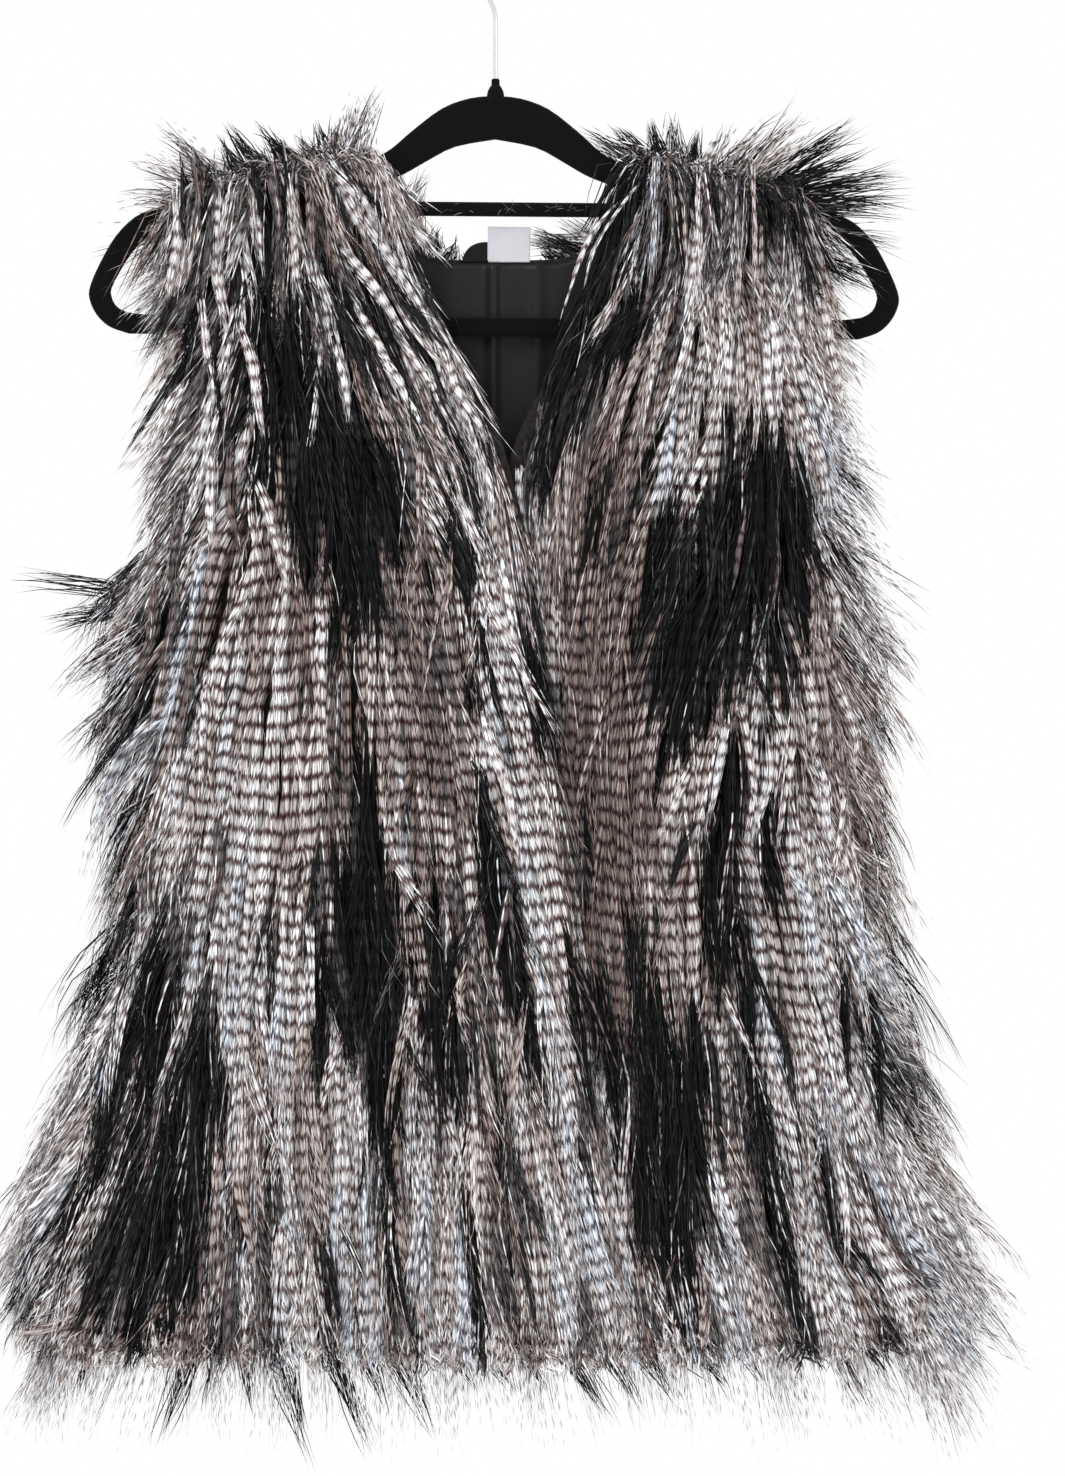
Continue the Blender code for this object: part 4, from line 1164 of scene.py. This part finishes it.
def comb(which, x, down, turned, length):
    """Guide lines that follow the nap from their roots, and the cloth's normals along them."""
    guide = np.empty((len(x), len(HAIR), 3))
    normals = np.empty((len(x), len(HAIR), 3))
    gone = 0
    for i, along in enumerate(HAIR_ALONG):
        lean = lean_at(which, x, np.minimum(down, HEM_DOWN)) + turned
        x = x + np.sin(lean) * (along - gone) * length
        down = down + np.cos(lean) * (along - gone) * length
        gone = along
        guide[:, i], normals[:, i], _ = over_cloth(which, x, down)
    return guide, normals


def ribbon_across(lines, facing):
    """The width directions of ribbons along lines, which face one way."""
    return np.cross(unit(np.gradient(lines, axis=1)), facing)


def plan_locks(which, chance):
    """The locks of one panel: their guide lines, sizes, disorder and tones, as arrays with a row for each."""
    x, down, nature = flow_lines(which, chance)
    if which == "under":
        seen = (x > EDGE["lap_edge"](down) - 1) | (down < LAP_HIDES_FROM_DOWN)
        x, down, nature = x[seen], down[seen], nature[seen]
    count = len(x)
    drop = drop_from_seam(x, down)
    messy, out_of_step = disorder(which, x, down)
    black = tone_shares(which, x, down + 20)[:, 0]
    messy = np.maximum(messy, 0.55 * ramp(black, 0.35, 0.7))
    over = chance.uniform(0, 1, count) < OVER_SHARE
    at_top = 1 - ramp(drop, 20, 110)
    turned = chance.normal(0, 1, count) * np.radians(3 + 4 * messy + 5 * over + 5 * at_top)
    length = FUR_LENGTH * chance.uniform(0.85, 1.1, count) * mix(0.8, 1, ramp(drop, 10, 120))
    length = np.where(over, length * OVER_GROWTH, length)
    length = np.minimum(length, np.maximum(HEM_DOWN + chance.uniform(-4, 12, count) - down, 10))
    height = fur_height(which, x, down) * (1 + 0.13 * nature[:, 2]).clip(0.7, 1.3)
    height = np.where(over, height * OVER_GROWTH, height)

    guide, normals = comb(which, x, down, turned, length)
    steep = (np.abs(x) > side_of(x, down) - 2) & (drop > UNDERARM_DROP)
    normals[steep] = sideways_from(x[steep])[:, None]
    tangent = unit(np.gradient(guide, axis=1))
    sideways = unit(np.cross(tangent, normals))
    at_seam = 1 - ramp(drop, 2, 20)
    upward = (at_seam * chance.uniform(0.6, 2.4, count))[:, None] * RISE_ALONG
    normals = unit(normals + upward[:, :, None] * UP)

    ragged = 0.07 * nature[:, 1] + 0.08 * chance.normal(0, 1, count)
    shares = tone_shares(which, guide[:, 2, 0], -guide[:, 2, 2], ragged)
    opened = ramp(down, OPEN_FROM_DOWN, OPEN_TO_DOWN)
    return SimpleNamespace(
        guide=guide, tangent=tangent, sideways=sideways, normals=normals, at_seam=at_seam,
        messy=messy, out_of_step=out_of_step, over=over, opened=opened, shares=shares,
        slim=mix(0.74, 1, ramp(drop, 110, 200)) + 0.35 * opened,
        length=length,
        height=height * (1 + 0.35 * at_seam),
        tone=tone_at(shares, even_chance(nature[:, 0])),
        shift=nature[:, 1] * 1.1 + chance.normal(0, 1, count) * mix(0.75, 2.9, out_of_step),
    )


def lay_fur(which, hairs, per_lock, chance):
    """The fur of one panel: locks of hairs that lie along the nap and taper together."""
    locks = plan_locks(which, chance)
    count = len(locks.length)
    index = np.repeat(np.arange(count), per_lock)
    total = len(index)
    own = SimpleNamespace(**{name: rows[index] for name, rows in vars(locks).items()})

    angle = chance.uniform(0, 2 * math.pi, total)
    radius = LOCK_RADIUS * own.slim * np.sqrt(chance.uniform(0, 1, total))
    across = radius * np.cos(angle)
    along = radius * np.sin(angle) * 1.4 + own.at_seam * chance.uniform(-1, 14, total)
    from_middle = np.abs(across) / LOCK_RADIUS * (1 - 0.45 * own.opened)
    gather = np.where(own.over, 0.9, chance.uniform(0.35, 0.85, total) * (1 - 0.5 * own.opened))
    deep = chance.uniform(0, 1, total) < DEEP_SHARE
    fine = ~deep & (chance.uniform(0, 1, total) < FINE_SHARE)
    height = np.where(deep, chance.uniform(0.2, 0.5, total), chance.uniform(0.72, 1.12, total))
    height = height * (1 - 0.5 * from_middle ** 2) * np.where(fine, 1.25, 1)
    height = height * mix(1, chance.uniform(0.5, 1.5, total), own.at_seam)
    length = np.where(deep, chance.uniform(0.5, 0.85, total), chance.uniform(0.8, 1.08, total))
    loose = chance.uniform(0, 1, total)
    strays = fine | (loose < 0.02 + 0.08 * own.messy)
    stray = chance.normal(0, 1, total) * np.where(strays, 6, 0.8 + 1.1 * own.messy)
    lift = chance.normal(0, 1, total) * np.where(loose < 0.03 + 0.06 * own.messy, 5, 0.6 + 0.8 * own.messy)
    bend = chance.normal(0, 1, total) * (0.6 + 1.0 * own.messy + 2.5 * fine)
    away = across[:, None] * (1 - gather[:, None] * HAIR_AT ** 0.8)
    swing = chance.normal(0, 1.3, count)[index][:, None]
    wave = swing * np.sin(HAIR_AT * 5.2 + chance.uniform(0, 6.3, count)[index][:, None])
    away = away + wave + stray[:, None] * HAIR_AT ** 2 + bend[:, None] * np.sin(HAIR_AT * math.pi)
    up = own.height[:, None] * height[:, None] * HAIR_HEIGHT + lift[:, None] * HAIR_AT ** 2
    up = np.maximum(up, 0.6)
    stretch = (length[:, None] - 1) * HAIR_ALONG * own.length[:, None]
    lines = own.guide + own.tangent * (along[:, None] + stretch)[:, :, None]
    lines = lines + own.sideways * away[:, :, None] + own.normals * up[:, :, None]

    roll = chance.normal(0, 0.5, total)[:, None, None]
    facing = own.normals * np.cos(roll) + own.sideways * np.sin(roll)
    wide = HAIR_WIDE * chance.uniform(0.7, 1.25, total) * np.where(fine, 0.5, 1)

    own_tone = pick_tone(own.shares, chance)
    tone = np.where(chance.uniform(0, 1, total) < LOCK_TONE_SHARE, own.tone, own_tone).astype(float)
    # Pale hairs towards a lock's sides get darker tones: painted shade in the grooves between locks
    tone = tone - np.where(tone > 2.5, PAINTED_SHADE_AT_LOCK_SIDES * from_middle ** 2, 0)
    # Deep hairs get darker tones: painted shade inside and between the locks
    tone = np.where(deep, np.minimum(tone, 3) * chance.uniform(0.3, 0.9, total), tone)
    # On black locks the fine hairs get black to charcoal-grey tones: painted sheen on the black hair;
    # elsewhere they take tones from charcoal-grey to cream
    tone = np.where(fine, chance.uniform(0.3, 1, total) * np.where(own.tone < 1.5, 1.6, 5), tone)
    tone = near_tone(tone, 0.25, chance)
    tone = soft_bars(tone, fine | (chance.uniform(0, 1, total) < own.out_of_step * 0.8))
    phase = bar_phase(lines[:, :, 0], -lines[:, :, 2]) + own.shift[:, None]
    phase = phase + (chance.normal(0, 1, total) * (0.9 + 1.0 * own.out_of_step))[:, None]
    hairs.add(lines, ribbon_across(lines, facing), wide[:, None] * HAIR_WIDTH, tone, phase)


def place_locks(hairs, which, table, chance):
    """Long locks: each of their hairs lies on a part of the lock's line, and the hairs' tips run together."""
    for x, down, end_x, end_down, bow, width, name, count in table:
        run_x, run_down = end_x - x, end_down - down
        length = math.hypot(run_x, run_down)
        begin = chance.uniform(0, 0.5, count)[:, None]
        end = begin + chance.uniform(0.45, 0.65, count)[:, None]
        end = np.minimum(end, chance.uniform(0.92, 1.05, count)[:, None])
        share = begin + (end - begin) * HAIR_AT
        beside = chance.uniform(-1, 1, count)[:, None]
        aside = bow * np.sin(share * math.pi) + beside * (width / 2) * (1 - 0.8 * np.clip(share, 0, 1) ** 2.5)
        aside = aside + 0.8 * np.sin(share * 9 + x) + chance.normal(0, 0.7, count)[:, None] * HAIR_AT
        line_x = x + run_x * share + run_down / length * aside
        line_down = down + run_down * share - run_x / length * aside
        base, normals, inside = over_cloth(which, line_x, line_down)
        fur_top = fur_height(which, inside, line_down) + LONG_LOCK_OVER
        fur_top = fur_top + LONG_LOCK_OVER_SEAM * (1 - ramp(drop_from_seam(inside, line_down), 6, 60))
        up = mix(0.45, 1, np.minimum(HAIR_AT * 2.5, 1)) * fur_top - 2.5 * np.clip(share, 0, 1) ** 3
        up = up * (1 - 0.35 * beside ** 2) + chance.normal(0, 0.8, count)[:, None]
        lines = base + normals * up[:, :, None]
        across = ribbon_across(lines, normals + chance.normal(0, 0.3, (count, 1, 3)))
        widths = (HAIR_WIDE * chance.uniform(0.6, 1, count))[:, None] * HAIR_WIDTH
        shares = np.tile(np.array(MIXES[name]), (count, 1))
        alike = chance.uniform(0, 1, count) < LONG_LOCK_TONE_SHARE
        tones = np.where(alike, LOCK_TONES[name], pick_tone(shares, chance))
        # Hairs towards a long lock's sides get darker tones: painted shade between the locks
        tones = near_tone(tones - 1.4 * beside[:, 0] ** 2, 0.3, chance)
        tones = soft_bars(tones, chance.uniform(0, 1, count) < LONG_LOCK_SOFT_SHARE)
        phase = share * length * 1.12 + chance.uniform(0, BAR_PITCH) + chance.normal(0, 1.0, count)[:, None]
        hairs.add(lines, across, widths, tones, phase)


def stand_hair(hairs, roots, directions, lengths, spread, tones, chance, droop=0.18, wide=0.75):
    """Free hairs from roots along directions, with a slight droop towards their tips."""
    total = len(roots)
    lengths = lengths * chance.uniform(0.6, 1.08, total)
    wander = chance.normal(0, 1, (total, 3)) * np.radians(spread)
    heading = unit(directions + wander)
    at = HAIR_AT[None, :, None]
    lines = roots[:, None, :] + heading[:, None, :] * at * lengths[:, None, None]
    fall = np.zeros((total, len(HAIR_AT), 3))
    fall[:, :, 2] = -(HAIR_AT ** 2)[None, :] * (lengths * droop * chance.uniform(0.3, 1.4, total))[:, None]
    bend = chance.normal(0, 1, (total, 3)) * (lengths * 0.03)[:, None]
    lines = lines + fall + bend[:, None, :] * np.sin(HAIR_AT * math.pi)[None, :, None]
    facing = unit(np.array([0.0, -1.0, 0.0]) + chance.normal(0, 0.5, (total, 3)))
    across = ribbon_across(lines, facing[:, None, :])
    tones = soft_bars(tones, chance.uniform(0, 1, total) < EDGE_SOFT_SHARE)
    own_width = HAIR_WIDE * wide * chance.uniform(0.7, 1.2, total)
    phase = chance.uniform(0, BAR_PITCH, total)[:, None] * 0.3 + HAIR_AT * lengths[:, None]
    hairs.add(lines, across, own_width[:, None] * HAIR_WIDTH, tones, phase)


def face_point(panel, front, x, down):
    """Points of a front panel's cloth where front is true, and of the back's elsewhere."""
    return np.where(front[:, None], cloth_point(panel, x, down), cloth_point("back", x, down))


def side_hair(hairs, chance, wisps, per_wisp):
    """Wisps that stand off the armholes and the side seams, from the front and the back."""
    for sign, name, panel in ((-1, "left", "lap"), (1, "right", "under")):
        down = chance.uniform(ARMHOLE_DOWN, HEM_DOWN, wisps)
        edge = sign * side_of(np.full(wisps, float(sign)), down)
        inset = chance.uniform(0, 15, wisps)
        front = chance.uniform(0, 1, wisps) < SIDE_FRONT_SHARE
        lean = np.radians(SIDE[name + "_lean"](down) + chance.normal(0, 9, wisps))
        depthwise = np.where(front, -1, 1) * chance.uniform(0.0, 0.35, wisps)
        heading = unit(np.stack([np.sin(lean), depthwise, -np.cos(lean)], -1))
        length = SIDE[name + "_length"](down) * chance.uniform(0.7, 1.1, wisps)
        shares = tone_shares("lap", edge - sign * 8, down + 20)
        pale = np.where(down > 640, PALE_LOW[name], PALE_MIDDLE)
        pale = np.where(down < 420, PALE_HIGH, pale)
        shares = mix(shares, np.array(MIXES["pale"]), pale[:, None])
        wisp_tone = pick_tone(shares, chance)

        index = np.repeat(np.arange(wisps), per_wisp)
        total = len(index)
        own_down = np.clip(down[index] + chance.normal(0, 3.2, total), ARMHOLE_DOWN, HEM_DOWN)
        own_edge = sign * side_of(np.full(total, float(sign)), own_down)
        x = own_edge - sign * np.clip(inset[index] + chance.normal(0, 2.2, total), 0, 24)
        roots = face_point(panel, front[index], x, own_down)
        tips = face_point(panel, front, edge - sign * inset, down) + heading * length[:, None]
        toward = tips[index] + chance.normal(0, 3.5, (total, 3)) - roots
        alike = chance.uniform(0, 1, total) < SIDE_TONE_SHARE
        tones = near_tone(np.where(alike, wisp_tone[index], pick_tone(shares[index], chance)), 0.3, chance)
        stand_hair(hairs, roots, toward, np.linalg.norm(toward, axis=1), 2.5, tones, chance, 0.16, 0.7)


def shoulder_hair(hairs, chance, per_side):
    """Hair that stands up all along the shoulder seams."""
    for sign, low, high in ((-1, -168, -72), (1, 74, 165)):
        x = chance.uniform(low, high, per_side)
        down = seam_down(x)
        roots = np.stack([x, chance.uniform(-6, 6, per_side), -down - chance.uniform(0, 3, per_side)], -1)
        beyond = (np.abs(x) - 70) / 98
        lean = np.radians(mix(4, 58, beyond) + chance.normal(0, 16, per_side)) * sign
        direction = np.stack([np.sin(lean), chance.normal(0, 0.55, per_side), np.cos(lean)], -1)
        length = mix(15, 26, beyond) * chance.uniform(0.5, 1, per_side)
        tones = near_tone(pick_tone(tone_shares("lap", x, down + 12), chance), 0.25, chance)
        stand_hair(hairs, roots, direction, length, 7.0, tones, chance)


def crown_hair(hairs, chance, wisps, per_wisp):
    """Wisps that rise from the shoulder seams and curl over the starts of the locks."""
    for sign, low, high in ((-1, -164, -76), (1, 78, 160)):
        x = chance.uniform(low, high, wisps)
        beyond = (np.abs(x) - 74) / 90
        side = chance.normal(0, 0.6, wisps) + sign * (beyond - 0.25)
        rise = chance.uniform(0.35, 0.85, wisps)
        ahead = -chance.uniform(0.5, 1.0, wisps)
        length = chance.uniform(24, 46, wisps)
        fall = chance.uniform(0.7, 1.5, wisps)
        shares = mix(tone_shares("lap", x, seam_down(x) + 24), np.array(MIXES["crown"]), 0.55)
        wisp_tone = pick_tone(shares, chance)

        index = np.repeat(np.arange(wisps), per_wisp)
        total = len(index)
        own_x = x[index] + chance.normal(0, 2.2, total)
        y = chance.uniform(-5, 3, total)
        roots = np.stack([own_x, y, -seam_down(own_x) + chance.uniform(-5, 2, total)], -1)
        heading = unit(np.stack([side, ahead, rise], -1)[index])
        tones = near_tone(wisp_tone[index], 0.3, chance)
        stand_hair(hairs, roots, heading, length[index], 3.0, tones, chance, fall[index], 0.75)


def bar_hair(hairs, chance, count):
    """Shed hairs that cling to the hanger's thin upper bar."""
    x = chance.uniform(-52, 68, count)
    roots = np.stack([x, np.full(count, -UPPER_BAR_FRONT), chance.normal(-UPPER_BAR_DOWN, 1.2, count)], -1)
    turn = chance.normal(0, 1.1, count)
    level = np.cos(turn) * chance.choice((-1, 1), count)
    heading = unit(np.stack([level, chance.uniform(-0.2, 0.1, count), np.sin(turn) * 0.5], -1))
    length = chance.uniform(2, 8, count)
    stand_hair(hairs, roots, heading, length, 5.0, chance.uniform(1.5, 3.5, count), chance, 0.2, 0.22)


def hem_hair(hairs, chance, wisps, per_wisp):
    """Pale thin wisps that hang below the hem, front and back."""
    turn = chance.uniform(-math.pi, math.pi, wisps)
    x = np.sin(turn) * side_of(turn, np.full(wisps, float(HEM_DOWN))) * 0.995
    front = np.cos(turn) > 0
    on_lap = x < EDGE["lap_edge"](NEAR_HEM_DOWN)
    lean = lean_at("lap", x, np.full(wisps, NEAR_HEM_DOWN)) + chance.normal(0, math.radians(7), wisps)
    length = chance.uniform(40, 64, wisps)

    index = np.repeat(np.arange(wisps), per_wisp)
    total = len(index)
    root_x = x[index] + chance.normal(0, 2.6, total)
    root_x = np.clip(root_x, EDGE["left_side"](HEM_DOWN) + 0.5, EDGE["right_side"](HEM_DOWN) - 0.5)
    root_down = HEM_DOWN - chance.uniform(0, 10, total)
    roots = np.where(on_lap[index][:, None], face_point("lap", front[index], root_x, root_down),
                     face_point("under", front[index], root_x, root_down))
    outward = np.where(front[index], -1, 1) * chance.uniform(-0.05, 0.2, total)
    direction = np.stack([np.sin(lean[index]), outward, -np.cos(lean[index])], -1)
    tones = np.clip(chance.normal(5.8, 0.7, total), 3, 7)
    stand_hair(hairs, roots, direction, length[index], 4.0, tones, chance, 0.05, 0.5)


def place_tufts(hairs, table, chance):
    """Pointed tufts: hairs whose tips run together."""
    for x, down, y, lean, length, spread, name, count in table:
        turn = math.radians(lean)
        direction = np.array([math.sin(turn), chance.normal(0, 0.12), math.cos(turn)])
        root = np.array([x, y, -down])
        roots = root + chance.normal(0, 1, (count, 3)) * (4.6, 3.0, 3.0)
        toward = unit(root + direction * length - roots)
        shares = np.tile(np.array(MIXES[name]), (count, 1))
        tones = near_tone(pick_tone(shares, chance), 0.2, chance)
        curl = 0.16 if down < HEM_DOWN - 40 else 0.03
        stand_hair(hairs, roots, toward, np.full(count, float(length)), spread / 2, tones, chance, curl, 0.8)


def lining_fold(x, down):
    """How far the satin stands forward: the centre pleat, a softer fold beside it, and small pulls."""
    near_top = 1 - 0.55 * ramp(down, BACK_NECK_DOWN, BACK_NECK_DOWN + 90)
    pleat = 3.6 * np.exp(-((x - PLEAT_AT) / 3.4) ** 2)
    fold = 2.0 * np.exp(-((x - FOLD_AT) / 4) ** 2)
    pulls = 0.6 * np.sin(x / 5.5 + down / 40) * np.sin(down / 23 + x / 30)
    return near_top * (pleat + fold) + pulls + 0.4


def thin_piece(name, near, far, cloth, node):
    """A thin piece between two grids, in place of its solid."""
    sides = (np.array(near)[:, ::-1], np.array(far)[:, ::-1])
    made = grid_mesh(name, sides, (cloth_material(cloth),))
    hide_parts(node)
    return made, grid_area(np.array(near))


def lining():
    """The satin inside the back, over the form of its solid."""
    low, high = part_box("back_lining")
    rows, columns = LINING_GRID
    x_line = np.linspace(low[0] / MM + 0.4, high[0] / MM - 0.4, columns)
    near = []
    far = []
    for share in np.linspace(0, 1, rows):
        down = mix(neck_down(x_line) + 0.4, LINING_END_DOWN - 1, share)
        place = cloth_point("back", x_line, down)
        normal = cloth_normal("back", x_line, down)
        far.append(place - normal * 0.5)
        near.append(place - normal * (1.1 + lining_fold(x_line, down))[:, None])
    made, area = thin_piece("satin_lining", near, far, "satin", "back_lining")


def neck_label(seam):
    """The blank white label, which stands up from the neck seam and leans back."""
    rows, columns = LABEL_GRID
    x = np.linspace(LABEL_LEFT, LABEL_RIGHT, columns)
    across = (x - LABEL_LEFT) / (LABEL_RIGHT - LABEL_LEFT)
    depth = cloth_depth("back", x, np.full_like(x, seam + 2.0))
    near = []
    far = []
    for share in np.linspace(0, 1, rows):
        rise = 1 - share
        down = mix(LABEL_TOP_DOWN, seam, share) - 0.44 * rise * (1 - across)
        bow = 0.7 * np.sin(across * math.pi) * rise
        y = depth - 1.2 - 1.6 * rise * rise + bow + 0.25 * np.sin(x / 3.1 + share * 3) * rise
        wider = x + 0.52 * rise * (x - 8) / 24
        near.append(np.stack([wider, y - 0.25, -down], -1))
        far.append(np.stack([wider, y + 0.25, -down], -1))
    made, area = thin_piece("blank_label", near, far, "white_tape", "neck_label")


def neck_loop(seam):
    """The black ribbon loop beside the label."""
    rows, columns = LOOP_GRID
    across = np.linspace(0, 1, columns)
    x = LOOP_LEFT + (LABEL_LEFT - SEAM_GAP - LOOP_LEFT) * across
    high = (seam - LOOP_TOP_DOWN) * (1 - (1 - across) ** 2.6).clip(0.002, 1) ** 0.55
    depth = cloth_depth("back", x, np.full_like(x, seam + 2.0))
    near = []
    far = []
    for share in np.linspace(0, 1, rows):
        down = seam - high * (1 - share)
        y = depth - 0.9 + 0.5 * np.sin(x / 2.7) * (1 - share)
        near.append(np.stack([x, y - 0.4, -down], -1))
        far.append(np.stack([x, y + 0.4, -down], -1))
    made, area = thin_piece("ribbon_loop", near, far, "black_ribbon", "neck_loop")


def hook():
    """The wire hook on the solid's line, rounder than the solid."""
    centre_z = -(HOOK_RADIUS - WIRE_RADIUS)
    start_angle = math.pi + HOOK_LEAN
    foot_x = HOOK_RADIUS * math.cos(start_angle)
    foot_z = centre_z + HOOK_RADIUS * math.sin(start_angle)
    bend_x = -HOOK_BEND_RADIUS * (1 - math.cos(HOOK_LEAN))
    bend_end_z = foot_z - (bend_x - foot_x) / math.tan(HOOK_LEAN)
    stem_top_z = bend_end_z - HOOK_BEND_RADIUS * math.sin(HOOK_LEAN)
    line = [(0, -STEM_END_DOWN), (0, (stem_top_z - STEM_END_DOWN) / 2)]
    for angle in np.linspace(0, HOOK_LEAN, HOOK_BEND_STEPS):
        x = -HOOK_BEND_RADIUS * (1 - math.cos(angle))
        line.append((x, stem_top_z + HOOK_BEND_RADIUS * math.sin(angle)))
    for angle in np.linspace(start_angle, HOOK_END_ANGLE, HOOK_STEPS):
        line.append((HOOK_RADIUS * math.cos(angle), centre_z + HOOK_RADIUS * math.sin(angle)))
    curve = bpy.data.curves.new("wire_hook", "CURVE")
    curve.dimensions = "3D"
    curve.bevel_depth = WIRE_RADIUS * MM
    curve.bevel_resolution = 5
    curve.use_fill_caps = True
    spline = curve.splines.new("POLY")
    spline.points.add(len(line) - 1)
    for point, (x, z) in zip(spline.points, line):
        point.co = (x * MM, 0, z * MM, 1)
    curve.materials.append(wire_material())
    made = add_object("wire_hook", curve)
    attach(made, "root")
    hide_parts("hanger_hook")


def stage_and_light():
    """A pale floor far below, white surroundings and soft light from the front."""
    bpy.ops.mesh.primitive_plane_add(size=FLOOR_SIZE, location=(0, 0, FLOOR_Z))
    floor = bpy.context.object
    floor.name = "floor"
    pale, _, _, shader = new_material("pale_floor")
    set_inputs(shader, Base_Color=FLOOR_COLOUR, Roughness=0.9)
    floor.data.materials.append(pale)

    world = bpy.data.worlds.new("white")
    bpy.context.scene.world = world
    world.use_nodes = True
    set_inputs(world.node_tree.nodes["Background"], Color=(1, 1, 1, 1), Strength=1.0)

    for name, place, power, size in LIGHTS:
        lamp = bpy.data.lights.new(name, "AREA")
        lamp.energy = power
        lamp.size = size
        made = add_object(name, lamp)
        made.location = place
        made.rotation_mode = "QUATERNION"
        made.rotation_quaternion = (Vector(LIGHT_AIM) - made.location).to_track_quat("-Z", "Y")


def camera():
    """A camera straight in front, at the photograph's frame."""
    lens = bpy.data.cameras.new("camera")
    lens.sensor_width = SENSOR
    lens.lens = SENSOR * VIEW_DISTANCE / VIEW_HEIGHT
    made = add_object("camera", lens)
    made.location = (VIEW_X, -VIEW_DISTANCE, VIEW_Z)
    made.rotation_euler = (QUARTER, 0, 0)
    bpy.context.scene.camera = made


def flocked_hanger():
    """The hanger's own solid, with black flock on it."""
    flock = cloth_material("black_flock")
    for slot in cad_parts["hanger"].material_slots:
        slot.material = flock


def panel_fur(fur, few):
    """The fur of each panel, as lists of pieces."""
    laid = {}
    for which, per_lock, seed in FUR_PANELS:
        laid[which] = Hairs()
        lay_fur(which, laid[which], per_lock // few, np.random.default_rng(seed))
        place_locks(laid[which], which, LONG_LOCKS[which], np.random.default_rng(seed + 1))
    return {which: split_fur(which, hairs, fur) for which, hairs in laid.items()}


def edge_fur(fur, few):
    """The tufts and wisps at the edges, in one piece."""
    chance = np.random.default_rng(EDGE_SEED)
    edges = Hairs()
    place_tufts(edges, TUFTS, chance)
    place_tufts(edges, NECK_TUFTS, chance)
    side_hair(edges, chance, SIDE_WISPS, SIDE_WISP_HAIRS // few)
    shoulder_hair(edges, chance, SHOULDER_HAIRS // few)
    crown_hair(edges, chance, CROWN_WISPS, CROWN_WISP_HAIRS // few)
    bar_hair(edges, chance, UPPER_BAR_HAIRS)
    hem_hair(edges, chance, HEM_WISPS, HEM_WISP_HAIRS // few)
    made = edges.make("fur_at_edges", fur)
    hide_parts("side_locks_left", "side_locks_right", "armhole_locks_front_left",
                "armhole_locks_front_right", "armhole_locks_back_left", "armhole_locks_back_right",
                "shoulder_locks_left", "shoulder_locks_right")


def backings(cloths):
    """The panels' backing cloths, which carry the fur."""
    for which, name, node, flat in BACKINGS:
        inner, outer = panel_shell(which)
        if which == "lap":
            inner, outer = inner[:, ::-1], outer[:, ::-1]
        sides = (outer[:, ::-1], inner[:, ::-1]) if which == "back" else (outer, inner)
        made = grid_mesh(name, sides, cloths)
        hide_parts(node, "hem_locks_" + which)


def build():
    camera()
    stage_and_light()
    bpy.context.scene.view_settings.view_transform = "Standard"
    flocked_hanger()
    hook()
    fur = fur_material()
    cloths = (cloth_material("underfur"), cloth_material("inner_satin"))
    few = 1
    pieces = panel_fur(fur, few)
    edge_fur(fur, few)
    backings(cloths)
    lining()
    seam = float(neck_down(np.array([0.0]))[0]) - SEAM_GAP
    neck_label(seam)
    neck_loop(seam)


def split_fur(which, laid, fur):
    """Makes a panel's fur as a few pieces of about the same size, one above the other."""
    kinds = laid.joined()
    order = np.argsort(-kinds[0][:, 0, 2])
    made = []
    for i, part in enumerate(np.array_split(order, math.ceil(len(order) / HAIRS_IN_PIECE))):
        piece = Hairs()
        piece.add(*(each[part] for each in kinds))
        made.append(piece.make(f"{which}_fur_{i + 1}", fur))
    return made


build()
